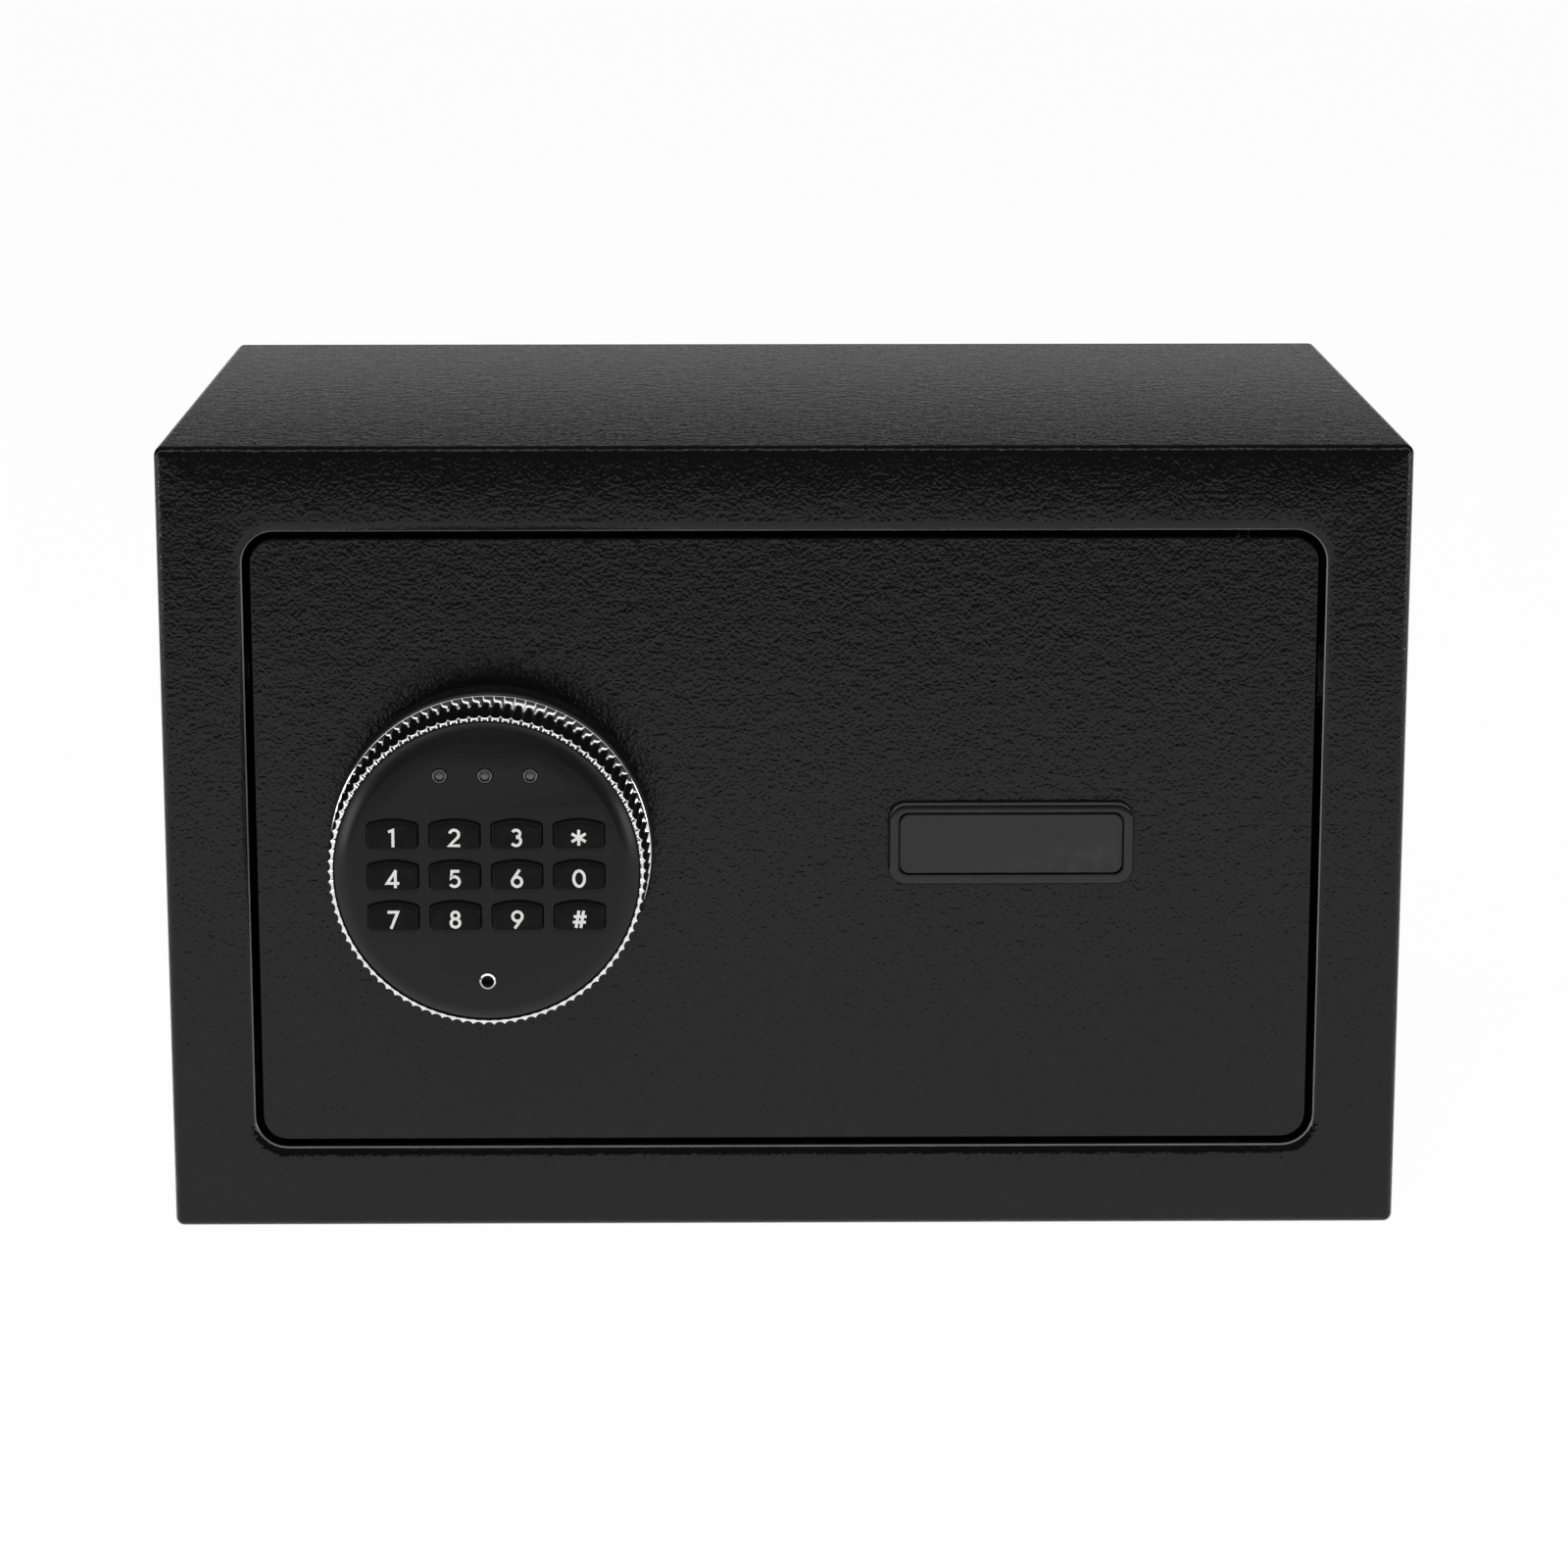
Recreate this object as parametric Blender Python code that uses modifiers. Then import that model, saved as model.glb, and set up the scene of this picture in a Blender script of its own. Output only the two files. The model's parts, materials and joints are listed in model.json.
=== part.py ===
"""Small electronic safe: folded steel case, hinged door, turning keypad knob and sliding bolts.

The frame has its origin at the middle of the base: +X to the right, +Y into the safe, +Z up.
"""
import math

import bmesh
import bpy
from mathutils import Vector

MM = 0.001

# Case
CASE_WIDTH = 310 * MM
CASE_HEIGHT = 200 * MM
CASE_DEPTH = 200 * MM
CASE_SHEET = 2 * MM
CASE_BEND = 2.5 * MM
FRAME_WIDTH = 21 * MM
LIP_DEPTH = 14 * MM
OPENING_RADIUS = 8 * MM
ANCHOR_HOLE = 10 * MM
ANCHOR_SPACING = 150 * MM
MAT_THICK = 2 * MM
MAT_MARGIN = 3 * MM
MAT_RADIUS = 5 * MM

# Door and hinge
DOOR_GAP = 2 * MM
DOOR_THICK = 4 * MM
DOOR_RECESS = 1 * MM
DOOR_RADIUS = 6 * MM
HINGE_INSET = 18 * MM
HINGE_DEPTH = 8 * MM
PIN_DIAMETER = 5 * MM
HINGE_BLOCK_WIDTH = 16 * MM
HINGE_BLOCK_HEIGHT = 16 * MM
HINGE_BLOCK_DEPTH = 10 * MM
HINGE_BLOCK_DROP = 3 * MM
HINGE_BRACKET_WIDTH = 20 * MM
HINGE_BRACKET_HEIGHT = 10 * MM

# Knob and keypad
KNOB_FROM_DOOR_EDGE = 59 * MM
BASE_RADIUS = 40.4 * MM
BASE_HEIGHT = 9.2 * MM
BASE_EDGE = 1.2 * MM
RING_REAR_RADIUS = 39.75 * MM
RING_FRONT_RADIUS = 38.9 * MM
RING_LENGTH = 20.2 * MM
RING_CHAMFER = 1 * MM
KEYPAD_RADIUS = 37.3 * MM
FACE_RADIUS = 33.8 * MM
FACE_RISE = 2.5 * MM
SPINDLE_DIAMETER = 10 * MM
SPINDLE_SOCKET = 6 * MM
KEY_WIDTH = 12.5 * MM
KEY_HEIGHT = 7.1 * MM
KEY_ARCH = 1.3 * MM
KEY_CORNER = 1 * MM
KEY_PROUD = 1.7 * MM
KEY_BURIED = 3 * MM
KEY_TRAVEL = 1 * MM
KEY_COLUMN_PITCH = 15.1 * MM
KEY_ROW_PITCH = 10.2 * MM
KEY_ROWS = (("1", "2", "3", "star"), ("4", "5", "6", "0"), ("7", "8", "9", "hash"))
LED_ABOVE_CENTRE = 24.5 * MM
LED_PITCH = 11 * MM
LED_RIM_RADIUS = 1.75 * MM
LED_LENS_RADIUS = 1.2 * MM
LED_RIM_PROUD = 0.4 * MM
LED_BURIED = 2 * MM
CONTACT_BELOW_CENTRE = 27 * MM
CONTACT_RADIUS = 2 * MM
CONTACT_BORE_RADIUS = 1.2 * MM
CONTACT_PROUD = 0.5 * MM
CONTACT_BURIED = 3 * MM

# Boltwork
CRANK_RADIUS = 15 * MM
CRANK_THICK = 4 * MM
CRANK_FROM_DOOR = 4 * MM
CRANK_THROW = 10 * MM
CRANK_SWING = math.radians(90)
CRANK_PIN_DIAMETER = 6 * MM
CRANK_PIN_LENGTH = 6 * MM
YOKE_CLEARANCE = 0.6 * MM
CARRIAGE_SHEET = 3 * MM
CARRIAGE_LEFT = 20 * MM
CARRIAGE_RIGHT = 32 * MM
CARRIAGE_BORDER = 10 * MM
CARRIAGE_CLEARANCE = 1 * MM
BOLT_DIAMETER = 12 * MM
BOLT_PITCH = 63 * MM
BOLT_TIP_INSET = 2 * MM
BOLT_CHAMFER = 1 * MM
GUIDE_FROM_DOOR_EDGE = 19.5 * MM
GUIDE_SHEET = 3 * MM
GUIDE_FOOT = 10 * MM
GUIDE_DEPTH = 25 * MM

# Solenoid
SOLENOID_WIDTH = 20 * MM
SOLENOID_HEIGHT = 22 * MM
PLUNGER_DIAMETER = 6 * MM
PLUNGER_LENGTH = 14 * MM
PLUNGER_LIFT = 1 * MM
PLUNGER_TRAVEL = 6 * MM
PLUNGER_OFFSET = 4 * MM

# Emergency lock
LOCK_FROM_DOOR_EDGE = 75.4 * MM
BEZEL_WIDTH = 61.6 * MM
BEZEL_HEIGHT = 21.2 * MM
BEZEL_RADIUS = 4.5 * MM
BEZEL_THICK = 2 * MM
BEZEL_BORDER = 2.6 * MM
OVERRIDE_RADIUS = 2.5 * MM
OVERRIDE_THICK = 1.5 * MM
CYLINDER_DIAMETER = 14 * MM
CYLINDER_LENGTH = 22 * MM
PLUG_DIAMETER = 8.6 * MM
PLUG_TAIL = 5 * MM
KEYWAY_WIDTH = 1.6 * MM
KEYWAY_HEIGHT = 6 * MM
KEYWAY_DEPTH = 14 * MM
CAM_LENGTH = 22 * MM
CAM_WIDTH = 12 * MM
CAM_THICK = 3 * MM

# Casing on the door's rear and what it holds
COVER_MARGIN = 7 * MM
COVER_LEFT_INSET = 10 * MM
COVER_HINGE_GAP = 16 * MM
COVER_DEPTH = 40 * MM
COVER_WALL = 2 * MM
SCREW_INSET = 9 * MM
SCREW_HEAD_RADIUS = 3.5 * MM
SCREW_CROWN_RADIUS = 2.45 * MM
SCREW_HEAD_HEIGHT = 2.2 * MM
SCREW_SHANK_RADIUS = 1.7 * MM
SCREW_LENGTH = 6 * MM
BOARD_WIDTH = 66 * MM
BOARD_HEIGHT = 46 * MM
BOARD_THICK = 1.6 * MM
BOARD_TOP_GAP = 6 * MM
BOSS_RADIUS = 3 * MM
BOSS_LENGTH = 5 * MM
BUTTON_RADIUS = 3 * MM
BUTTON_PROUD = 3 * MM
BUTTON_TRAVEL = 1.5 * MM
BATTERY_RADIUS = 7.1 * MM
BATTERY_LENGTH = 50.5 * MM
BATTERY_NUB_RADIUS = 2.7 * MM
BATTERY_NUB = 1.5 * MM
BATTERY_COUNT = 4
BATTERY_FROM_LOCK = 46 * MM
TRAY_WALL = 1.5 * MM
TRAY_DEPTH = 18 * MM
LID_OVERLAP = 3 * MM
LID_THICK = 2 * MM

# Clearances
SEAT = 0.3 * MM
RUNNING = 0.3 * MM

# Values worked out from those above
FRONT_Y = -CASE_DEPTH / 2
OPENING_WIDTH = CASE_WIDTH - 2 * FRAME_WIDTH
OPENING_HEIGHT = CASE_HEIGHT - 2 * FRAME_WIDTH
MIDDLE_Z = CASE_HEIGHT / 2
DOOR_WIDTH = OPENING_WIDTH - 2 * DOOR_GAP
DOOR_HEIGHT = OPENING_HEIGHT - 2 * DOOR_GAP
DOOR_FACE_Y = FRONT_Y + DOOR_RECESS
DOOR_BACK_Y = DOOR_FACE_Y + DOOR_THICK
HINGE_X = DOOR_WIDTH / 2 - HINGE_INSET
HINGE_Y = DOOR_FACE_Y + HINGE_DEPTH
KNOB_X = KNOB_FROM_DOOR_EDGE - DOOR_WIDTH / 2
LOCK_X = DOOR_WIDTH / 2 - LOCK_FROM_DOOR_EDGE
RING_BACK_Y = DOOR_FACE_Y - SEAT - BASE_HEIGHT - RUNNING
FACE_Y = RING_BACK_Y - RING_LENGTH - FACE_RISE
CRANK_FRONT_Y = DOOR_BACK_Y + CRANK_FROM_DOOR
CARRIAGE_FRONT_Y = CRANK_FRONT_Y + CRANK_THICK + RUNNING
CARRIAGE_BACK_Y = CARRIAGE_FRONT_Y + CARRIAGE_SHEET
BOLT_Y = CARRIAGE_BACK_Y + SEAT + BOLT_DIAMETER / 2
BOLT_TRAVEL = 2 * CRANK_THROW * math.sin(CRANK_SWING / 2)
CARRIAGE_TOP_Z = MIDDLE_Z + BOLT_PITCH / 2 + CARRIAGE_BORDER
CARRIAGE_RIGHT_X = KNOB_X + CARRIAGE_RIGHT
PLUNGER_X = KNOB_X + PLUNGER_OFFSET
NOTCH_DEPTH = PLUNGER_TRAVEL + PLUNGER_LIFT
PLUNGER_Y = CARRIAGE_FRONT_Y + CARRIAGE_SHEET / 2
COVER_BACK_Y = DOOR_BACK_Y + SEAT + COVER_DEPTH
COVER_LOW = Vector((COVER_LEFT_INSET - DOOR_WIDTH / 2, DOOR_BACK_Y + SEAT,
                    MIDDLE_Z - DOOR_HEIGHT / 2 + COVER_MARGIN))
COVER_HIGH = Vector((HINGE_X - COVER_HINGE_GAP, COVER_BACK_Y, MIDDLE_Z + DOOR_HEIGHT / 2 - COVER_MARGIN))
BATTERY_PITCH = 2 * BATTERY_RADIUS + SEAT
TRAY_X = LOCK_X - BATTERY_FROM_LOCK
TRAY_LOW_Z = COVER_LOW.z + COVER_WALL + SEAT
TRAY_WIDTH = BATTERY_COUNT * BATTERY_PITCH + SEAT + 2 * TRAY_WALL
TRAY_HEIGHT = BATTERY_LENGTH + 2 * SEAT + 2 * TRAY_WALL

# Mesh detail
FINE_STEPS = 64
ROUND_STEPS = 32
SMALL_STEPS = 16
CORNER_STEPS = 5
ARCH_STEPS = 8

# Turns a shape's own +Z out of the door's front, with its +Y up
FACING = (math.pi / 2, 0, 0)

# Colour, roughness and metallic value of each finish
FINISHES = {
    "black coat": ((0.022, 0.022, 0.023), 0.55, 0.0),
    "black plastic": ((0.02, 0.02, 0.021), 0.4, 0.0),
    "key plastic": ((0.017, 0.017, 0.018), 0.35, 0.0),
    "chrome": ((0.8, 0.8, 0.81), 0.1, 1.0),
    "bright steel": ((0.62, 0.62, 0.63), 0.3, 1.0),
    "zinc plate": ((0.5, 0.5, 0.48), 0.4, 1.0),
    "brass": ((0.72, 0.53, 0.24), 0.3, 1.0),
    "grey lens": ((0.32, 0.33, 0.34), 0.15, 0.0),
    "felt": ((0.035, 0.035, 0.038), 0.95, 0.0),
    "green board": ((0.02, 0.12, 0.05), 0.45, 0.0),
    "red plastic": ((0.45, 0.02, 0.02), 0.35, 0.0),
    "cell wrap": ((0.06, 0.09, 0.13), 0.3, 0.0),
}


def new_collection(name):
    """Return a new collection linked to the scene."""
    made = bpy.data.collections.new(name)
    bpy.context.scene.collection.children.link(made)
    return made


def pivot(name, place, parent=None):
    """Add an empty on a joint's axis and return it."""
    empty = bpy.data.objects.new(name, None)
    empty.empty_display_size = 0.01
    PARTS.objects.link(empty)
    put(empty, place, parent)
    return empty


def put(item, place, parent):
    """Place an item at a point of the safe's frame, under an unturned empty or none."""
    item["place"] = tuple(place)
    item.parent = parent
    start = Vector(parent["place"]) if parent else Vector()
    item.location = Vector(place) - start


def add_part(name, mesh, finish, place, parent=None, rotation=(0, 0, 0)):
    """Add one named piece with its own material."""
    part = bpy.data.objects.new(name, mesh)
    PARTS.objects.link(part)
    part.rotation_euler = rotation
    put(part, place, parent)
    colour, roughness, metallic = FINISHES[finish]
    surface = bpy.data.materials.new(name + " " + finish)
    surface.use_nodes = True
    shader = surface.node_tree.nodes["Principled BSDF"]
    shader.inputs["Base Color"].default_value = (*colour, 1)
    shader.inputs["Roughness"].default_value = roughness
    shader.inputs["Metallic"].default_value = metallic
    mesh.materials.append(surface)
    return part


def box_mesh(size):
    """A box of the given size round the origin."""
    mesh = bpy.data.meshes.new("box")
    bm = bmesh.new()
    bmesh.ops.create_cube(bm, size=1)
    bmesh.ops.scale(bm, vec=Vector(size), verts=bm.verts)
    bm.to_mesh(mesh)
    bm.free()
    return mesh


def rod_mesh(radius, length, steps=ROUND_STEPS):
    """A round rod along Z round the origin."""
    mesh = bpy.data.meshes.new("rod")
    bm = bmesh.new()
    bmesh.ops.create_cone(bm, cap_ends=True, segments=steps, radius1=radius, radius2=radius, depth=length)
    bm.to_mesh(mesh)
    bm.free()
    smooth(mesh)
    return mesh


def smooth(mesh):
    """Shade round sides smooth and keep real edges sharp."""
    mesh.shade_smooth()
    mesh.set_sharp_from_angle(angle=math.radians(35))


def outline_mesh(outlines, thickness):
    """A flat plate in the XY plane: the first outline's shape, with the others as holes."""
    curve = bpy.data.curves.new("outline", "CURVE")
    curve.dimensions = "2D"
    curve.fill_mode = "BOTH"
    curve.extrude = thickness / 2
    for points in outlines:
        spline = curve.splines.new("POLY")
        spline.points.add(len(points) - 1)
        for spot, (x, y) in zip(spline.points, points):
            spot.co = (x, y, 0, 1)
        spline.use_cyclic_u = True
    holder = bpy.data.objects.new("outline", curve)
    bpy.context.scene.collection.objects.link(holder)
    graph = bpy.context.evaluated_depsgraph_get()
    mesh = bpy.data.meshes.new_from_object(holder.evaluated_get(graph))
    bpy.data.objects.remove(holder)
    bm = bmesh.new()
    bm.from_mesh(mesh)
    bmesh.ops.remove_doubles(bm, verts=bm.verts, dist=0.001 * MM)
    bmesh.ops.recalc_face_normals(bm, faces=bm.faces)
    bm.to_mesh(mesh)
    bm.free()
    smooth(mesh)
    return mesh


def turned_mesh(profile, closed=False):
    """The half profile of a turned piece: (radius, height) points down its outer side."""
    mesh = bpy.data.meshes.new("profile")
    spots = [(radius, 0, height) for radius, height in profile]
    edges = [(index, index + 1) for index in range(len(spots) - 1)]
    if closed:
        edges.append((len(spots) - 1, 0))
    mesh.from_pydata(spots, edges, [])
    return mesh


def spin(part, steps=ROUND_STEPS):
    """Turn a piece's profile once round its own Z axis."""
    screw = part.modifiers.new("turned", "SCREW")
    screw.axis = "Z"
    screw.angle = math.tau
    screw.steps = steps
    screw.render_steps = steps
    screw.use_merge_vertices = True
    screw.merge_threshold = 0.01 * MM
    screw.use_smooth_shade = True


def circle(radius, centre=(0, 0), steps=ROUND_STEPS):
    """Points round a circle."""
    turns = [math.tau * step / steps for step in range(steps)]
    return [(centre[0] + radius * math.cos(turn), centre[1] + radius * math.sin(turn)) for turn in turns]


def rounded(width, height, radius, centre=(0, 0)):
    """Points round a rectangle with round corners."""
    points = []
    for corner, (side, level) in enumerate(((1, 1), (-1, 1), (-1, -1), (1, -1))):
        middle_x = centre[0] + side * (width / 2 - radius)
        middle_y = centre[1] + level * (height / 2 - radius)
        for step in range(CORNER_STEPS + 1):
            turn = math.pi / 2 * (corner + step / CORNER_STEPS)
            points.append((middle_x + radius * math.cos(turn), middle_y + radius * math.sin(turn)))
    return points


def key_outline(spare=0.0):
    """Points round one key: an arched top and a flat bottom with round corners, grown by spare."""
    half = KEY_WIDTH / 2 + spare
    low = -KEY_HEIGHT / 2 - spare
    shoulder = KEY_HEIGHT / 2 - KEY_ARCH + spare
    arch_radius = (half ** 2 + KEY_ARCH ** 2) / (2 * KEY_ARCH)
    reach = math.asin(half / arch_radius)
    points = []
    for step in range(ARCH_STEPS + 1):
        turn = reach * (1 - 2 * step / ARCH_STEPS)
        rise = arch_radius * (math.cos(turn) - math.cos(reach))
        points.append((arch_radius * math.sin(turn), shoulder + rise))
    for side, start in ((-1, math.pi), (1, 1.5 * math.pi)):
        for step in range(CORNER_STEPS):
            turn = start + math.pi / 2 * step / (CORNER_STEPS - 1)
            points.append((side * (half - KEY_CORNER) + KEY_CORNER * math.cos(turn),
                           low + KEY_CORNER + KEY_CORNER * math.sin(turn)))
    return points


def tool(name, mesh, place, rotation=(0, 0, 0)):
    """Add a hidden shape that cuts or joins another piece."""
    made = bpy.data.objects.new(name, mesh)
    CUTTERS.objects.link(made)
    made.location = place
    made.rotation_euler = rotation
    made.hide_render = True
    made.display_type = "WIRE"
    return made


def combine(part, operation, mesh, place, rotation=(0, 0, 0)):
    """Cut a shape out of a piece, or join it on."""
    change = part.modifiers.new(operation.lower(), "BOOLEAN")
    change.operation = operation
    change.solver = "EXACT"
    change.object = tool(part.name + " " + operation.lower(), mesh, place, rotation)


def cut(part, mesh, place, rotation=(0, 0, 0)):
    """Cut a shape out of a piece."""
    combine(part, "DIFFERENCE", mesh, place, rotation)


def join(part, mesh, place, rotation=(0, 0, 0)):
    """Join a shape on to a piece."""
    combine(part, "UNION", mesh, place, rotation)


def round_edges(part, width, segments=2):
    """Round a piece's edges."""
    bevel = part.modifiers.new("rounded edges", "BEVEL")
    bevel.width = width
    bevel.segments = segments
    bevel.limit_method = "ANGLE"
    bevel.angle_limit = math.radians(40)


def span(low, high):
    """Size and middle of the box between two corners."""
    low = Vector(low)
    high = Vector(high)
    return high - low, (low + high) / 2


def add_box(name, low, high, finish, parent=None):
    """Add a box between two corners."""
    size, middle = span(low, high)
    return add_part(name, box_mesh(size), finish, middle, parent)


def cut_box(part, low, high):
    """Cut away the box between two corners."""
    size, middle = span(low, high)
    cut(part, box_mesh(size), middle)


def make_case():
    """The folded shell, its back, the mat and the fixed half of the hinge."""
    shell = add_part("body_shell", box_mesh((CASE_WIDTH, CASE_DEPTH, CASE_HEIGHT)), "black coat",
                     (0, 0, MIDDLE_Z))
    round_edges(shell, CASE_BEND, 3)
    inner = Vector((CASE_WIDTH / 2 - CASE_SHEET, CASE_DEPTH, CASE_HEIGHT / 2 - CASE_SHEET))
    cut_box(shell, (-inner.x, FRONT_Y + CASE_SHEET, MIDDLE_Z - inner.z),
            (inner.x, inner.y, MIDDLE_Z + inner.z))
    lip_outline = rounded(OPENING_WIDTH + 2 * CASE_SHEET, OPENING_HEIGHT + 2 * CASE_SHEET,
                          OPENING_RADIUS + CASE_SHEET)
    lip_front_y = FRONT_Y + CASE_SHEET / 2
    lip_length = LIP_DEPTH - CASE_SHEET / 2
    join(shell, outline_mesh([lip_outline], lip_length), (0, lip_front_y + lip_length / 2, MIDDLE_Z), FACING)
    opening = rounded(OPENING_WIDTH, OPENING_HEIGHT, OPENING_RADIUS)
    cut(shell, outline_mesh([opening], 4 * LIP_DEPTH), (0, FRONT_Y, MIDDLE_Z), FACING)
    for side in (-1, 1):
        lip_z = MIDDLE_Z + side * (OPENING_HEIGHT + CASE_SHEET) / 2
        cut(shell, rod_mesh(PIN_DIAMETER / 2 + RUNNING, 2 * CASE_SHEET), (HINGE_X, HINGE_Y, lip_z))
    back_width = 2 * (inner.x - SEAT)
    back_height = 2 * (inner.z - SEAT)
    holes = [circle(ANCHOR_HOLE / 2, (side * ANCHOR_SPACING / 2, 0)) for side in (-1, 1)]
    back = rounded(back_width, back_height, CASE_SHEET)
    add_part("back_panel", outline_mesh([back] + holes, CASE_SHEET), "black coat",
             (0, CASE_DEPTH / 2 - CASE_SHEET, MIDDLE_Z), rotation=FACING)
    mat_front_y = FRONT_Y + LIP_DEPTH + MAT_MARGIN
    mat_back_y = CASE_DEPTH / 2 - 2 * CASE_SHEET - MAT_MARGIN
    mat = rounded(2 * (inner.x - MAT_MARGIN), mat_back_y - mat_front_y, MAT_RADIUS)
    add_part("floor_mat", outline_mesh([mat], MAT_THICK), "felt",
             (0, (mat_front_y + mat_back_y) / 2, CASE_SHEET + SEAT + MAT_THICK / 2))


def make_hinge(label, side, door):
    """One concealed hinge: bracket and pin on the case, block on the door."""
    lip_z = MIDDLE_Z + side * (OPENING_HEIGHT / 2 + CASE_SHEET)
    low_z, high_z = sorted((lip_z + side * SEAT, lip_z + side * (SEAT + HINGE_BRACKET_HEIGHT)))
    half = HINGE_BRACKET_WIDTH / 2
    bracket = add_box("hinge_bracket_" + label, (HINGE_X - half, FRONT_Y + CASE_SHEET + SEAT, low_z),
                      (HINGE_X + half, FRONT_Y + LIP_DEPTH, high_z), "black coat")
    hole = rod_mesh(PIN_DIAMETER / 2 + RUNNING, 4 * HINGE_BRACKET_HEIGHT)
    cut(bracket, hole, (HINGE_X, HINGE_Y, (low_z + high_z) / 2))
    block_end_z = MIDDLE_Z + side * (DOOR_HEIGHT / 2 - HINGE_BLOCK_DROP)
    block_low, block_high = sorted((block_end_z, block_end_z - side * HINGE_BLOCK_HEIGHT))
    half = HINGE_BLOCK_WIDTH / 2
    block = add_box("hinge_block_" + label, (HINGE_X - half, DOOR_BACK_Y + SEAT, block_low),
                    (HINGE_X + half, DOOR_BACK_Y + SEAT + HINGE_BLOCK_DEPTH, block_high), "black coat", door)
    cut(block, rod_mesh(PIN_DIAMETER / 2 + RUNNING, 4 * HINGE_BLOCK_HEIGHT),
        (HINGE_X, HINGE_Y, (block_low + block_high) / 2))
    pin_low = min(block_low, low_z)
    pin_high = max(block_high, high_z)
    add_part("hinge_pin_" + label, rod_mesh(PIN_DIAMETER / 2, pin_high - pin_low), "black coat",
             (HINGE_X, HINGE_Y, (pin_low + pin_high) / 2))


def make_door(door):
    """The door plate with its holes for the knob's spindle and the emergency lock."""
    holes = [circle(SPINDLE_DIAMETER / 2 + RUNNING, (KNOB_X, 0)),
             circle(CYLINDER_DIAMETER / 2 + SEAT, (LOCK_X, 0))]
    outline = rounded(DOOR_WIDTH, DOOR_HEIGHT, DOOR_RADIUS)
    add_part("door_plate", outline_mesh([outline] + holes, DOOR_THICK), "black coat",
             (0, DOOR_FACE_Y + DOOR_THICK / 2, MIDDLE_Z), door, FACING)


def make_knob(door, knob):
    """The fixed base, and the ring, keypad head and spindle that turn as one."""
    base_bore = SPINDLE_DIAMETER / 2 + RUNNING
    base_profile = [(BASE_RADIUS - BASE_EDGE, BASE_HEIGHT), (BASE_RADIUS, BASE_HEIGHT - BASE_EDGE),
                    (BASE_RADIUS, 0), (base_bore, 0), (base_bore, BASE_HEIGHT)]
    base = add_part("knob_base", turned_mesh(base_profile, True), "black plastic",
                    (KNOB_X, DOOR_FACE_Y - SEAT, MIDDLE_Z), door, FACING)
    spin(base, FINE_STEPS)
    ring_bore = KEYPAD_RADIUS + SEAT
    ring_profile = [(ring_bore, RING_LENGTH), (RING_FRONT_RADIUS, RING_LENGTH - RING_CHAMFER),
                    (RING_REAR_RADIUS, 0), (ring_bore, 0)]
    ring = add_part("knob_ring", turned_mesh(ring_profile, True), "chrome",
                    (KNOB_X, RING_BACK_Y, MIDDLE_Z), knob, FACING)
    spin(ring, FINE_STEPS)
    socket = SPINDLE_DIAMETER / 2 + SEAT
    face_height = RING_LENGTH + FACE_RISE
    head_profile = [(0, face_height), (FACE_RADIUS, face_height), (KEYPAD_RADIUS, RING_LENGTH),
                    (KEYPAD_RADIUS, 0), (socket, 0), (socket, SPINDLE_SOCKET + SEAT),
                    (0, SPINDLE_SOCKET + SEAT)]
    head = add_part("keypad_body", turned_mesh(head_profile), "black plastic",
                    (KNOB_X, RING_BACK_Y, MIDDLE_Z), knob, FACING)
    spin(head, FINE_STEPS)
    spindle_front_y = RING_BACK_Y - SPINDLE_SOCKET
    spindle_back_y = CRANK_FRONT_Y + CRANK_THICK - SEAT
    add_part("knob_spindle", rod_mesh(SPINDLE_DIAMETER / 2, spindle_back_y - spindle_front_y), "bright steel",
             (KNOB_X, (spindle_front_y + spindle_back_y) / 2, MIDDLE_Z), knob, FACING)
    make_keys(head, knob)
    make_lamps(head, knob)


def make_keys(head, knob):
    """Twelve push keys in pockets of the keypad head."""
    pocket_depth = KEY_BURIED + KEY_TRAVEL + SEAT
    for row, labels in enumerate(KEY_ROWS):
        for column, label in enumerate(labels):
            x = KNOB_X + (column - (len(labels) - 1) / 2) * KEY_COLUMN_PITCH
            z = MIDDLE_Z - (row - (len(KEY_ROWS) - 1) / 2) * KEY_ROW_PITCH
            cut(head, outline_mesh([key_outline(SEAT)], 2 * pocket_depth), (x, FACE_Y, z), FACING)
            key_y = FACE_Y + (KEY_BURIED - KEY_PROUD) / 2
            slide = pivot("key_" + label + "_slide", (x, FACE_Y, z), knob)
            add_part("key_" + label, outline_mesh([key_outline()], KEY_BURIED + KEY_PROUD), "key plastic",
                     (x, key_y, z), slide, FACING)


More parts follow.
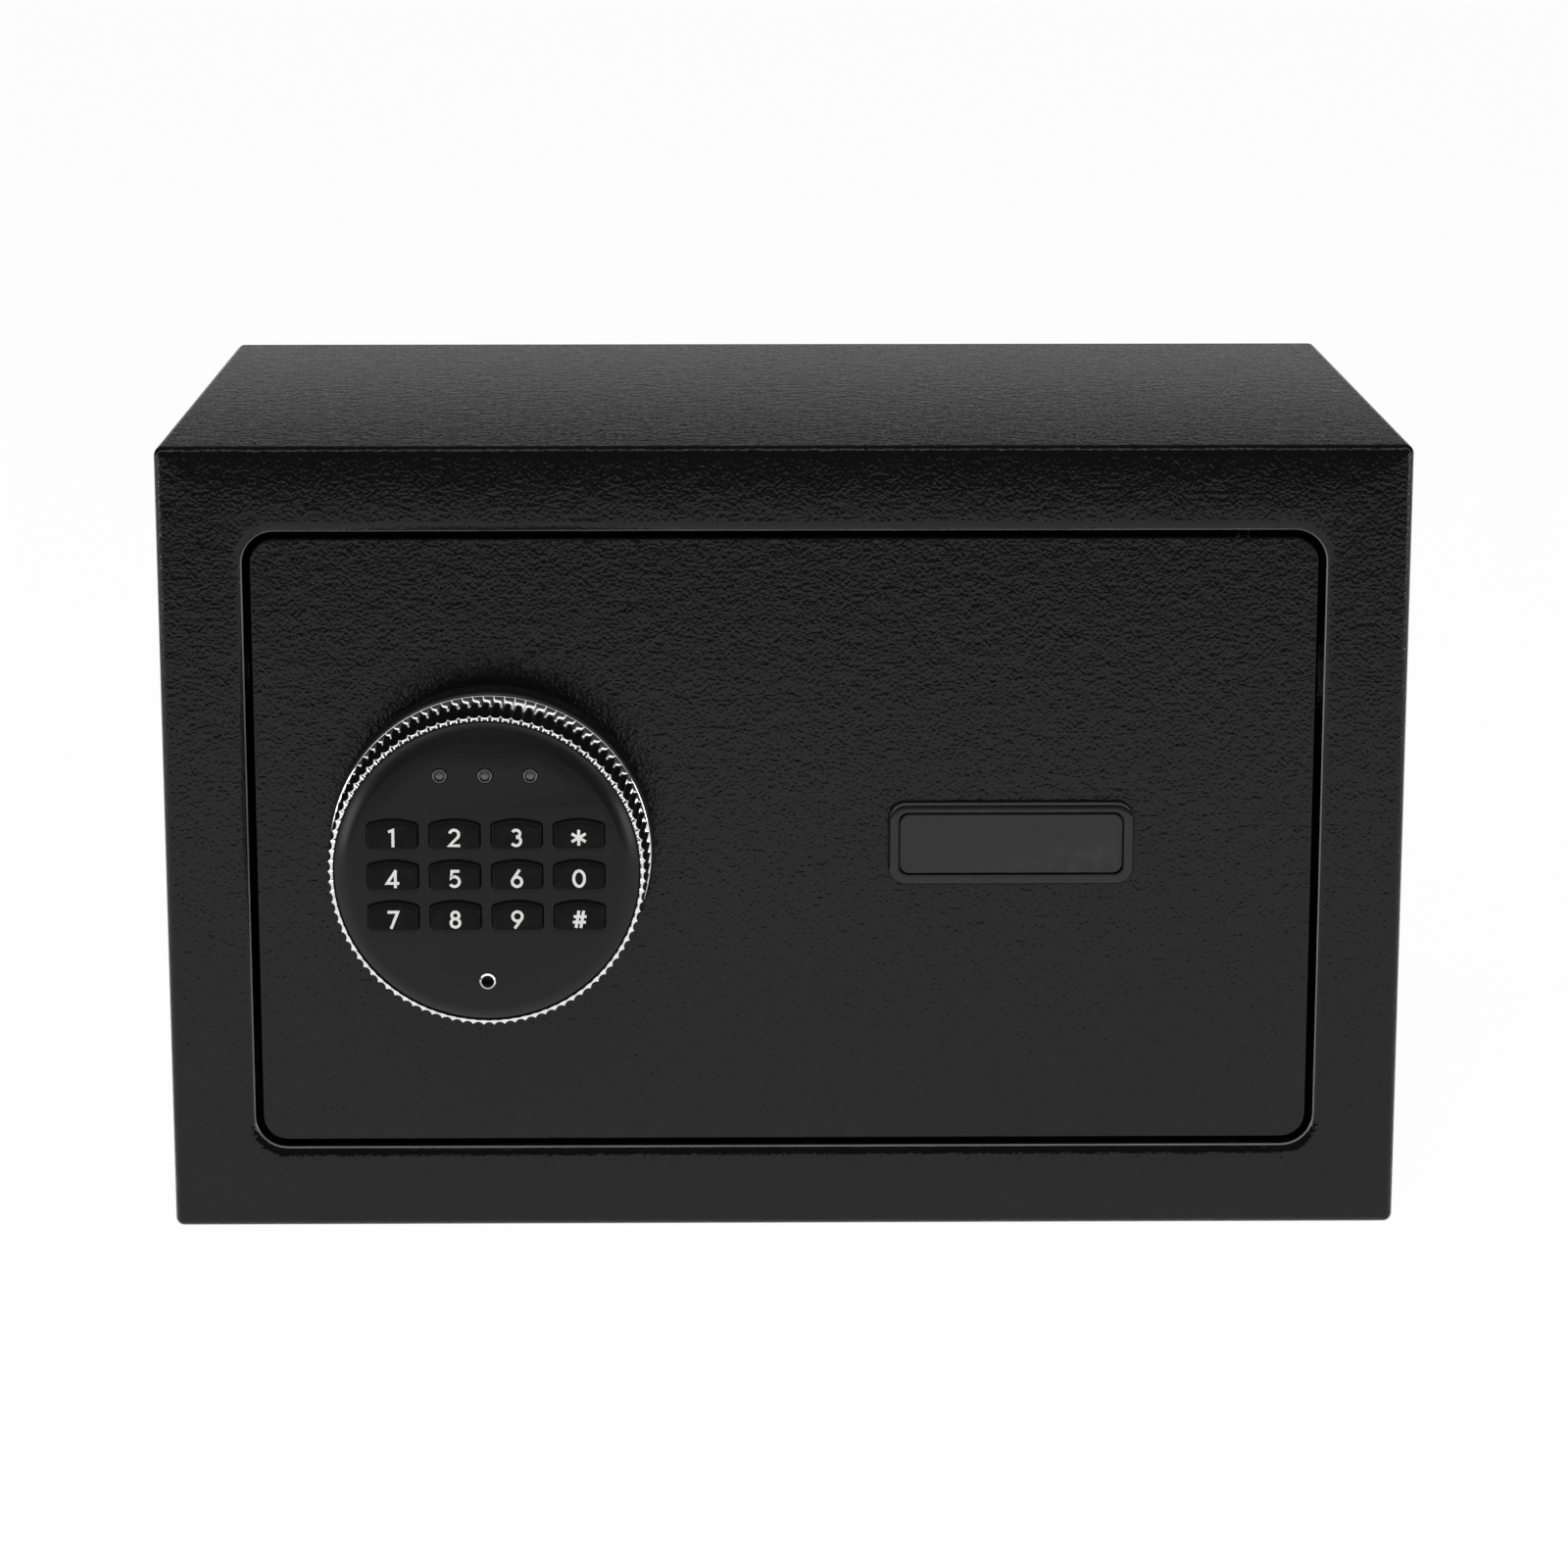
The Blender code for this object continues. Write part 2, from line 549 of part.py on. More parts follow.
def make_lamps(head, knob):
    """Three indicator lamps with bright rims above the keys, and a contact ring below them."""
    lamp_z = MIDDLE_Z + LED_ABOVE_CENTRE
    rim_bore = LED_LENS_RADIUS + SEAT / 2
    for number in (1, 2, 3):
        x = KNOB_X + (number - 2) * LED_PITCH
        cut(head, rod_mesh(LED_RIM_RADIUS + SEAT, 2 * (LED_BURIED + SEAT), SMALL_STEPS),
            (x, FACE_Y, lamp_z), FACING)
        rim_profile = [(LED_RIM_RADIUS, LED_RIM_PROUD), (LED_RIM_RADIUS, -LED_BURIED),
                       (rim_bore, -LED_BURIED), (rim_bore, LED_RIM_PROUD)]
        rim = add_part("led_ring_" + str(number), turned_mesh(rim_profile, True), "chrome",
                       (x, FACE_Y, lamp_z), knob, FACING)
        spin(rim, SMALL_STEPS)
        add_part("led_" + str(number), rod_mesh(LED_LENS_RADIUS, LED_BURIED, SMALL_STEPS), "grey lens",
                 (x, FACE_Y + LED_BURIED / 2, lamp_z), knob, FACING)
    contact_z = MIDDLE_Z - CONTACT_BELOW_CENTRE
    cut(head, rod_mesh(CONTACT_RADIUS + SEAT, 2 * (CONTACT_BURIED + SEAT), SMALL_STEPS),
        (KNOB_X, FACE_Y, contact_z), FACING)
    contact_profile = [(CONTACT_RADIUS, CONTACT_PROUD), (CONTACT_RADIUS, -CONTACT_BURIED),
                       (CONTACT_BORE_RADIUS, -CONTACT_BURIED), (CONTACT_BORE_RADIUS, CONTACT_PROUD)]
    contact = add_part("power_contact", turned_mesh(contact_profile, True), "chrome",
                       (KNOB_X, FACE_Y, contact_z), knob, FACING)
    spin(contact, SMALL_STEPS)


def make_boltwork(door, knob, bolts):
    """The crank on the spindle, and the carriage that it drives with its two bolts and their guide."""
    crank_outlines = [circle(CRANK_RADIUS), circle(SPINDLE_DIAMETER / 2 + SEAT)]
    crank = add_part("crank_disc", outline_mesh(crank_outlines, CRANK_THICK), "zinc plate",
                     (KNOB_X, CRANK_FRONT_Y + CRANK_THICK / 2, MIDDLE_Z), knob, FACING)
    pin_x = KNOB_X + CRANK_THROW * math.sin(CRANK_SWING / 2)
    pin_z = MIDDLE_Z + CRANK_THROW * math.cos(CRANK_SWING / 2)
    pin_length = CRANK_THICK / 2 + CRANK_PIN_LENGTH
    join(crank, rod_mesh(CRANK_PIN_DIAMETER / 2, pin_length),
         (pin_x, CRANK_FRONT_Y + CRANK_THICK / 2 + pin_length / 2, pin_z), FACING)
    low_z = 2 * MIDDLE_Z - CARRIAGE_TOP_Z
    carriage = add_box("bolt_carriage", (KNOB_X - CARRIAGE_LEFT, CARRIAGE_FRONT_Y, low_z),
                       (CARRIAGE_RIGHT_X, CARRIAGE_BACK_Y, CARRIAGE_TOP_Z), "zinc plate", bolts)
    flange_x = CARRIAGE_RIGHT_X - CARRIAGE_SHEET
    size, middle = span((flange_x, CARRIAGE_FRONT_Y, low_z),
                        (CARRIAGE_RIGHT_X, BOLT_Y + BOLT_DIAMETER / 2, CARRIAGE_TOP_Z))
    join(carriage, box_mesh(size), middle)
    slot = CRANK_PIN_DIAMETER / 2 + YOKE_CLEARANCE
    cut_box(carriage, (pin_x - slot, CARRIAGE_FRONT_Y - CARRIAGE_SHEET, pin_z - slot),
            (pin_x + slot, CARRIAGE_BACK_Y + CARRIAGE_SHEET, MIDDLE_Z + CRANK_THROW + slot))
    notch = PLUNGER_DIAMETER / 2 + YOKE_CLEARANCE
    for notch_x in (PLUNGER_X, PLUNGER_X + BOLT_TRAVEL):
        cut_box(carriage, (notch_x - notch, CARRIAGE_FRONT_Y - CARRIAGE_SHEET, CARRIAGE_TOP_Z - NOTCH_DEPTH),
                (notch_x + notch, CARRIAGE_BACK_Y + CARRIAGE_SHEET, CARRIAGE_TOP_Z + NOTCH_DEPTH))
    guide_x = GUIDE_FROM_DOOR_EDGE - DOOR_WIDTH / 2
    guide_back_y = DOOR_BACK_Y + SEAT + GUIDE_DEPTH
    guide = add_box("bolt_guide", (guide_x, DOOR_BACK_Y + SEAT, low_z),
                    (guide_x + GUIDE_SHEET, guide_back_y, CARRIAGE_TOP_Z), "black coat", door)
    size, middle = span((guide_x, DOOR_BACK_Y + SEAT, low_z),
                        (guide_x + GUIDE_FOOT, DOOR_BACK_Y + SEAT + GUIDE_SHEET, CARRIAGE_TOP_Z))
    join(guide, box_mesh(size), middle)
    tip_x = BOLT_TIP_INSET - DOOR_WIDTH / 2
    bolt_length = flange_x - SEAT - tip_x
    radius = BOLT_DIAMETER / 2
    for label, side in (("upper", 1), ("lower", -1)):
        bolt_z = MIDDLE_Z + side * BOLT_PITCH / 2
        profile = [(0, bolt_length), (radius - BOLT_CHAMFER, bolt_length),
                   (radius, bolt_length - BOLT_CHAMFER), (radius, 0), (0, 0)]
        bolt = add_part("bolt_" + label, turned_mesh(profile), "bright steel",
                        (flange_x - SEAT, BOLT_Y, bolt_z), bolts, (0, -math.pi / 2, 0))
        spin(bolt)
        cut(guide, rod_mesh(radius + RUNNING, 4 * GUIDE_FOOT), (guide_x, BOLT_Y, bolt_z), (0, math.pi / 2, 0))


def make_solenoid(door, plunger):
    """The solenoid over the carriage, whose plunger drops into the carriage's notches."""
    low_z = CARRIAGE_TOP_Z + CARRIAGE_CLEARANCE
    half = SOLENOID_WIDTH / 2
    front_y = DOOR_BACK_Y + SEAT
    body = add_box("solenoid_body", (PLUNGER_X - half, front_y, low_z),
                   (PLUNGER_X + half, 2 * PLUNGER_Y - front_y, low_z + SOLENOID_HEIGHT), "zinc plate", door)
    bore_depth = PLUNGER_LENGTH + SEAT
    cut(body, rod_mesh(PLUNGER_DIAMETER / 2 + RUNNING, 2 * bore_depth), (PLUNGER_X, PLUNGER_Y, low_z))
    tip_z = CARRIAGE_TOP_Z + PLUNGER_LIFT
    add_part("solenoid_plunger", rod_mesh(PLUNGER_DIAMETER / 2, PLUNGER_LENGTH), "bright steel",
             (PLUNGER_X, PLUNGER_Y, tip_z + PLUNGER_LENGTH / 2), plunger)


def make_lock(door, cover, plug):
    """The emergency lock behind its bezel and snap-off cover."""
    inner_width = BEZEL_WIDTH - 2 * BEZEL_BORDER
    inner_height = BEZEL_HEIGHT - 2 * BEZEL_BORDER
    bezel = [rounded(BEZEL_WIDTH, BEZEL_HEIGHT, BEZEL_RADIUS),
             rounded(inner_width, inner_height, OVERRIDE_RADIUS)]
    add_part("override_bezel", outline_mesh(bezel, BEZEL_THICK), "black plastic",
             (LOCK_X, DOOR_FACE_Y - SEAT - BEZEL_THICK / 2, MIDDLE_Z), door, FACING)
    lid = rounded(inner_width - 2 * SEAT, inner_height - 2 * SEAT, OVERRIDE_RADIUS - SEAT)
    add_part("override_cover", outline_mesh([lid], OVERRIDE_THICK), "black plastic",
             (LOCK_X, DOOR_FACE_Y - SEAT - OVERRIDE_THICK / 2, MIDDLE_Z), cover, FACING)
    barrel_bore = PLUG_DIAMETER / 2 + RUNNING
    barrel_profile = [(CYLINDER_DIAMETER / 2, 0), (CYLINDER_DIAMETER / 2, -CYLINDER_LENGTH),
                      (barrel_bore, -CYLINDER_LENGTH), (barrel_bore, 0)]
    barrel = add_part("lock_cylinder", turned_mesh(barrel_profile, True), "brass",
                      (LOCK_X, DOOR_FACE_Y, MIDDLE_Z), door, FACING)
    spin(barrel)
    plug_length = CYLINDER_LENGTH + PLUG_TAIL
    core = add_part("lock_plug", rod_mesh(PLUG_DIAMETER / 2, plug_length), "brass",
                    (LOCK_X, DOOR_FACE_Y + plug_length / 2, MIDDLE_Z), plug, FACING)
    cut(core, box_mesh((KEYWAY_WIDTH, 2 * KEYWAY_DEPTH, KEYWAY_HEIGHT)), (LOCK_X, DOOR_FACE_Y, MIDDLE_Z))
    cam_reach = CAM_LENGTH - CAM_WIDTH / 2
    cam_outline = rounded(cam_reach + CAM_WIDTH, CAM_WIDTH, CAM_WIDTH / 2 - SEAT, (-cam_reach / 2, 0))
    cam_y = DOOR_FACE_Y + CYLINDER_LENGTH + RUNNING + CAM_THICK / 2
    cam_hole = circle(PLUG_DIAMETER / 2 + SEAT)
    add_part("lock_cam", outline_mesh([cam_outline, cam_hole], CAM_THICK), "zinc plate",
             (LOCK_X, cam_y, MIDDLE_Z), plug, FACING)


def make_inner_cover(door, button, lid_slide):
    """The casing on the door's rear, with its screws, circuit board, reset button and battery lid."""
    cover = add_box("inner_cover", COVER_LOW, COVER_HIGH, "black plastic", door)
    wall = Vector((COVER_WALL, COVER_WALL, COVER_WALL))
    cut_box(cover, (COVER_LOW.x + wall.x, COVER_LOW.y - wall.y, COVER_LOW.z + wall.z), COVER_HIGH - wall)
    for side in (-1, 1):
        cut(cover, rod_mesh(BOLT_DIAMETER / 2 + RUNNING, 4 * COVER_WALL),
            (COVER_LOW.x, BOLT_Y, MIDDLE_Z + side * BOLT_PITCH / 2), (0, math.pi / 2, 0))
    board_x = COVER_HIGH.x - COVER_WALL - SEAT - BOARD_WIDTH / 2
    board_z = COVER_HIGH.z - COVER_WALL - BOARD_TOP_GAP - BOARD_HEIGHT / 2
    inner_y = COVER_BACK_Y - COVER_WALL
    board_y = inner_y - BOSS_LENGTH - SEAT - BOARD_THICK / 2
    for side_x in (-1, 1):
        for side_z in (-1, 1):
            boss_x = board_x + side_x * (BOARD_WIDTH / 2 - 2 * BOSS_RADIUS)
            boss_z = board_z + side_z * (BOARD_HEIGHT / 2 - 2 * BOSS_RADIUS)
            boss_length = BOSS_LENGTH + COVER_WALL / 2
            join(cover, rod_mesh(BOSS_RADIUS, boss_length, SMALL_STEPS),
                 (boss_x, inner_y + COVER_WALL / 2 - boss_length / 2, boss_z), FACING)
    board_middle = Vector((board_x, board_y, board_z))
    board_half = Vector((BOARD_WIDTH, BOARD_THICK, BOARD_HEIGHT)) / 2
    add_box("circuit_board", board_middle - board_half, board_middle + board_half, "green board", door)
    button_front_y = board_y + BOARD_THICK / 2 + BUTTON_TRAVEL + SEAT
    button_length = COVER_BACK_Y + BUTTON_PROUD - button_front_y
    button_spot = Vector((board_x + BOARD_WIDTH / 4, button_front_y + button_length / 2, board_z))
    cut(cover, rod_mesh(BUTTON_RADIUS + RUNNING, 4 * COVER_WALL, SMALL_STEPS),
        (button_spot.x, COVER_BACK_Y, button_spot.z), FACING)
    add_part("reset_button", rod_mesh(BUTTON_RADIUS, button_length, SMALL_STEPS), "red plastic",
             button_spot, button, FACING)
    hatch_low = Vector((TRAY_X - TRAY_WIDTH / 2, 0, TRAY_LOW_Z + TRAY_WALL))
    hatch_high = Vector((TRAY_X + TRAY_WIDTH / 2, 0, TRAY_LOW_Z + TRAY_HEIGHT))
    cut_box(cover, (hatch_low.x, inner_y - COVER_WALL, hatch_low.z),
            (hatch_high.x, COVER_BACK_Y + COVER_WALL, hatch_high.z))
    lid_y = COVER_BACK_Y + SEAT
    lid = add_box("battery_lid", (hatch_low.x - LID_OVERLAP, lid_y, hatch_low.z - LID_OVERLAP),
                  (hatch_high.x + LID_OVERLAP, lid_y + LID_THICK, hatch_high.z + LID_OVERLAP),
                  "black plastic", lid_slide)
    round_edges(lid, LID_THICK / 4)
    number = 0
    for x in (COVER_LOW.x + SCREW_INSET, COVER_HIGH.x - SCREW_INSET):
        for z in (COVER_LOW.z + SCREW_INSET, COVER_HIGH.z - SCREW_INSET):
            number += 1
            cut(cover, rod_mesh(SCREW_SHANK_RADIUS + SEAT, 4 * COVER_WALL, SMALL_STEPS),
                (x, COVER_BACK_Y, z), FACING)
            profile = [(0, SCREW_HEAD_HEIGHT), (SCREW_CROWN_RADIUS, SCREW_HEAD_HEIGHT),
                       (SCREW_HEAD_RADIUS, 0), (SCREW_SHANK_RADIUS, 0), (SCREW_SHANK_RADIUS, -SCREW_LENGTH),
                       (0, -SCREW_LENGTH)]
            screw = add_part("cover_screw_" + str(number), turned_mesh(profile), "bright steel",
                             (x, COVER_BACK_Y + SEAT, z), door, (-math.pi / 2, 0, 0))
            spin(screw, SMALL_STEPS)


def make_batteries(door):
    """The battery tray on the door's rear, with its cells upright side by side."""
    front_y = DOOR_BACK_Y + SEAT
    tray_low = Vector((TRAY_X - TRAY_WIDTH / 2, front_y, TRAY_LOW_Z))
    tray_high = Vector((TRAY_X + TRAY_WIDTH / 2, front_y + TRAY_DEPTH, TRAY_LOW_Z + TRAY_HEIGHT))
    tray = add_box("battery_tray", tray_low, tray_high, "black plastic", door)
    wall = Vector((TRAY_WALL, TRAY_WALL, TRAY_WALL))
    cut_box(tray, tray_low + wall, (tray_high.x - wall.x, tray_high.y + wall.y, tray_high.z - wall.z))
    cell_y = front_y + TRAY_WALL + SEAT + BATTERY_RADIUS
    shoulder = BATTERY_LENGTH - BATTERY_NUB
    for number in range(BATTERY_COUNT):
        x = TRAY_X + (number - (BATTERY_COUNT - 1) / 2) * BATTERY_PITCH
        profile = [(0, BATTERY_LENGTH), (BATTERY_NUB_RADIUS, BATTERY_LENGTH), (BATTERY_NUB_RADIUS, shoulder),
                   (BATTERY_RADIUS, shoulder), (BATTERY_RADIUS, 0), (0, 0)]
        upright = number % 2 == 0
        base_z = TRAY_LOW_Z + TRAY_WALL + SEAT + (0 if upright else BATTERY_LENGTH)
        cell = add_part("battery_" + str(number + 1), turned_mesh(profile), "cell wrap",
                        (x, cell_y, base_z), door, (0 if upright else math.pi, 0, 0))
        spin(cell)


for item in list(bpy.data.objects):
    bpy.data.objects.remove(item, do_unlink=True)
PARTS = new_collection("safe")
CUTTERS = new_collection("cutters")

door_axis = pivot("door_axis", (HINGE_X, HINGE_Y, MIDDLE_Z))
knob_axis = pivot("knob_axis", (KNOB_X, RING_BACK_Y, MIDDLE_Z), door_axis)
bolt_slide = pivot("bolt_slide", (KNOB_X, BOLT_Y, MIDDLE_Z), door_axis)
plunger_slide = pivot("plunger_slide", (PLUNGER_X, PLUNGER_Y, CARRIAGE_TOP_Z), door_axis)
cover_slide = pivot("override_cover_slide", (LOCK_X, DOOR_FACE_Y, MIDDLE_Z), door_axis)
plug_axis = pivot("lock_plug_axis", (LOCK_X, DOOR_FACE_Y, MIDDLE_Z), door_axis)
button_slide = pivot("reset_button_slide", (COVER_HIGH.x, COVER_BACK_Y, COVER_HIGH.z), door_axis)
battery_slide = pivot("battery_lid_slide", (TRAY_X, COVER_BACK_Y, TRAY_LOW_Z), door_axis)

make_case()
make_hinge("top", 1, door_axis)
make_hinge("bottom", -1, door_axis)
make_door(door_axis)
make_knob(door_axis, knob_axis)
make_boltwork(door_axis, knob_axis, bolt_slide)
make_solenoid(door_axis, plunger_slide)
make_lock(door_axis, cover_slide, plug_axis)
make_inner_cover(door_axis, button_slide, battery_slide)
make_batteries(door_axis)
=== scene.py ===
"""Looks of the small electronic safe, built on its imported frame."""
import json
import math

import bmesh
import bpy
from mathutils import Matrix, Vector


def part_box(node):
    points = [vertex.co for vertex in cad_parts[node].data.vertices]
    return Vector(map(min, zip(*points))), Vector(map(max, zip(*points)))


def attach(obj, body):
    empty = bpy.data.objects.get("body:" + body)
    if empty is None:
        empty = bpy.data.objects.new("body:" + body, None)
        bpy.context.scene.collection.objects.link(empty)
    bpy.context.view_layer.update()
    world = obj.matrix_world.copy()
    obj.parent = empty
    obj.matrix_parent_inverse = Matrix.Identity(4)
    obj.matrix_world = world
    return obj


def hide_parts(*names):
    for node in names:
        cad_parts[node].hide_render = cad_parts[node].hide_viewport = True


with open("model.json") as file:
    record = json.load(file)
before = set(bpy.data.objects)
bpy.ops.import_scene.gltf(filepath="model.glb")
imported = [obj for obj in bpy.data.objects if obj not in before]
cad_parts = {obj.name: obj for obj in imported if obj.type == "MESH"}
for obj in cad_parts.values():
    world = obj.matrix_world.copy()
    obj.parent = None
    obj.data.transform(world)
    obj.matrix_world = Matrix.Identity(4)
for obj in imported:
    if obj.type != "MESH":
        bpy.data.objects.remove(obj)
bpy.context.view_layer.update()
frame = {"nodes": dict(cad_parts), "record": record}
MM = 0.001
NODES = frame["nodes"]
BODIES = frame["record"]["behaviour"]["bodies"]
BODY_OF = {node: body for body, nodes in BODIES.items() for node in nodes}
SLOT_OF = {entry["node"]: entry["material_slot"] for entry in frame["record"]["subparts"]}

# Camera
CAMERA_PLACE = (-12.76 * MM, -1226.7 * MM, 367.96 * MM)
CAMERA_TURN = 0.01115
CAMERA_DIP = 0.22064
CAMERA_LENS = 106.335
SENSOR_WIDTH = 36

# Meshes: distances, and angles in degrees above which an edge shows
MERGE_REACH = 0.001 * MM
WELD_REACH = 0.002 * MM
SHARP_ANGLE = 38.0
CUT_ANGLE = 32.0
FACET_ANGLE = 12.0
BEVEL_ANGLE = 40.0
BEVEL_SEGMENTS = 2
CUT_OVER = 1 * MM
HOLE_TURNS = 32

# Shell and door
SHEET = 2 * MM
OUTER_BEND = 2.6 * MM
LIP_BEND = 3.4 * MM
LIP_TURN = math.radians(50)
LIP_CREASE = 0.15 * MM
CORNER_RADIUS = 2.2 * MM
CORNER_LEAST = 0.6 * MM
OPENING_RADIUS = 8 * MM
DOOR_GAP = 2 * MM
LIP_DEPTH = 14 * MM
SEAM_WIDTH = 2 * MM
SEAM_GAP = 0.05 * MM
BEND_STEPS = 6
CORNER_STEPS = 8

# Keys and their legends
KEY_SPARE = 0.2 * MM
KEY_ARCH = 1.3 * MM
KEY_CORNER = 1.2 * MM
KEY_ROUND = 0.9 * MM
KEY_ROUND_STEPS = 4
KEY_TOE = 0.35
KEY_TRAVEL = 1.1 * MM
KEY_FLAT = 0.97
KEY_ARCH_STEPS = 10
KEY_CORNER_STEPS = 4
LEGEND_UNIT = 0.9 * MM
LEGEND_STROKE = 0.7 * MM
LEGEND_THICK = 0.03 * MM
LEGEND_LAYER = 0.005 * MM
LEGEND_DROP = 0.75 * MM
MITRE_LIMIT = 0.5
SAME_POINT = 1e-6
ARC_TURN = 12
ARC_LEAST = 4

# Knob
BASE_ROUND = 1.4 * MM
BASE_STEPS = 5
BASE_TURNS = 128
SPINDLE_RADIUS = 5.3 * MM
FACE_RADIUS = 33.8 * MM
FACE_BREAK = 0.3 * MM
FACE_FALL = 0.12 * MM
HEAD_SETBACK = 0.3 * MM
HEAD_BREAK = 0.25 * MM
HEAD_TURNS = 160
HEAD_ANGLE = 25
TEETH = 94
TOOTH_SAMPLES = 8
TOOTH_DEPTH = 0.75 * MM
RING_CHAMFER = 0.5 * MM
RING_FLAT = 0.32 * MM
RING_RIM = 0.7 * MM
RING_TAPER = 0.85 * MM
RING_EDGE = 0.1 * MM
RING_BORE_GAP = 0.15 * MM
RING_ANGLE = 30
SCOOP_SLANT = 0.45

# Lamps and contact on the knob
LAMP_GAP = 0.2 * MM
LAMP_DEPTH = 2.4 * MM
RIM_STEPS = 8
RIM_TURNS = 40
LENS_GAP = 0.1 * MM
LENS_DEPTH = 1.8 * MM
LENS_SHOULDER = 0.25 * MM
LENS_RISE = 0.35 * MM
LENS_STEPS = 6
LENS_TURNS = 32
CONTACT_BORE = 1.4 * MM
CONTACT_DEPTH = 3.4 * MM
CONTACT_BREAK = 0.3 * MM
CONTACT_INNER_BREAK = 0.2 * MM
CONTACT_TURNS = 48

# Emergency lock
BEZEL_RADIUS = 4.5 * MM
BEZEL_ROUND = 1.4 * MM
BEZEL_STEPS = 5
BEZEL_INNER_ROUND = 0.3 * MM
BEZEL_INNER_STEPS = 3
BEZEL_GAP = 0.3 * MM
COVER_RADIUS = 2.4 * MM
COVER_ROUND = 0.35 * MM
COVER_STEPS = 3
FLAT_MARGIN = 0.05 * MM

# Screws of the inner cover
SCREW_HEAD = 2.2 * MM
SCREW_SHANK = 1.7 * MM
SCREW_CROSS = 1.7 * MM
SCREW_SLOT = 0.4 * MM
SCREW_SLOT_ROUND = 0.1 * MM
SCREW_SLOT_SHARE = 0.6
SCREW_STEPS = 8
SCREW_TURNS = 40

# Mat
MAT_COLUMNS = 60
MAT_ROWS = 36
MAT_WAVE = 0.12 * MM
MAT_RIPPLES = ((57, 31), (-23, 83))

# Rounding of the edges of carried-over nodes
SOFTENED = {"door_plate": 0.35 * MM, "back_panel": 0.3 * MM, "inner_cover": 1.2 * MM,
            "battery_lid": 0.4 * MM, "hinge_block_top": 0.6 * MM, "hinge_block_bottom": 0.6 * MM,
            "hinge_bracket_top": 0.6 * MM, "hinge_bracket_bottom": 0.6 * MM,
            "reset_button": 0.6 * MM, "bolt_carriage": 0.3 * MM, "bolt_guide": 0.3 * MM,
            "solenoid_body": 0.5 * MM, "battery_tray": 0.3 * MM, "lock_cam": 0.3 * MM}

# Finishes: shares of the noise and edge values
PATCH_DETAIL = 5.0
PATCH_ROUGHNESS = 0.6
# Pointiness range of the lightened edges; on the coat it also picks out the lip's crease for a
# painted highlight
WORN_START = 0.53
WORN_END = 0.62
SCUFF_SCALE = 300.0
SCUFF_START = 0.4
SCUFF_END = 0.65
SWELL_SCALE = 0.28
SWELL_DETAIL = 1.0
# Grey of the coat's lightened edges: bare steel where worn, and a painted highlight along the
# lip's crease
BARE_STEEL_AND_HIGHLIGHT = (0.09, 0.09, 0.092)
BLACK = (0.005, 0.005, 0.0052)
BLACK_WEAR = (0.03, 0.03, 0.03)

# Studio: sizes in metres, directions as parts of a unit vector
FLOOR_SIZE = 12.0
FLOOR_FRONT = -1.1
FLOOR_DROP = 0.2 * MM
FLOOR_SHADE = (0.9, 0.9, 0.9, 1)
FLOOR_ROUGHNESS = 0.9
FLOOR_GLOW = 0.97
ROOM_SHADE = 0.05
HORIZON_START = -0.04
HORIZON_END = 0.14
CEILING_START = 0.1
CEILING_END = 0.19
BACKDROP_GLOW = 0.64
BACKDROP_START = -0.3
BACKDROP_END = 0.25
STRIP_Y = -0.2
STRIP_HALF = 0.08
STRIP_FADE = 0.17
STRIP_GLOW = 1.9
STRIP_LOW = 0.25
STRIP_HIGH = 0.5
LAMP_AIM = Vector((0, 0, 0.1))
# Name, place, width, power, and whether mirrors show it
LAMPS = (("fill_lamp", Vector((-0.2, -1.7, 1.3)), 1.2, 45.0, False),
         ("left_lamp", Vector((-1.5, -0.6, 0.3)), 0.5, 3.5, True),
         ("right_lamp", Vector((1.5, -0.6, 0.3)), 0.5, 3.5, True))


def extent(node):
    """Low and high corners of a node's box, and its middle in x and z."""
    low, high = (Vector(corner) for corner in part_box(node))
    return low, high, ((low.x + high.x) / 2, (low.z + high.z) / 2)


def size(node):
    """Size of a node's box."""
    low, high, _ = extent(node)
    return high - low


def link(tree, start, end):
    """Join two sockets."""
    tree.links.new(start, end)


def noise(tree, coords, scale, detail=3.0, roughness=0.5):
    """A noise texture, in features per metre."""
    node = tree.nodes.new("ShaderNodeTexNoise")
    node.inputs["Scale"].default_value = scale
    node.inputs["Detail"].default_value = detail
    node.inputs["Roughness"].default_value = roughness
    link(tree, coords, node.inputs["Vector"])
    return node.outputs["Fac"]


def spread(tree, value, low, high, start=0.3, end=0.7):
    """Map a value between start and end on to low to high."""
    node = tree.nodes.new("ShaderNodeMapRange")
    node.inputs["From Min"].default_value = start
    node.inputs["From Max"].default_value = end
    node.inputs["To Min"].default_value = low
    node.inputs["To Max"].default_value = high
    link(tree, value, node.inputs["Value"])
    return node.outputs["Result"]


def combine(tree, operation, first, second):
    """Two values, sockets or numbers, joined by a sum, product or other operation."""
    node = tree.nodes.new("ShaderNodeMath")
    node.operation = operation
    for socket, value in zip(node.inputs, (first, second)):
        if isinstance(value, float):
            socket.default_value = value
        else:
            link(tree, value, socket)
    return node.outputs["Value"]


def blend_colours(tree, factor, first, second):
    """Mix two colours, or a socket and a colour."""
    node = tree.nodes.new("ShaderNodeMix")
    node.data_type = "RGBA"
    for socket, colour in ((node.inputs["A"], first), (node.inputs["B"], second)):
        if isinstance(colour, tuple):
            socket.default_value = (*colour, 1)
        else:
            link(tree, colour, socket)
    link(tree, factor, node.inputs["Factor"])
    return node.outputs["Result"]


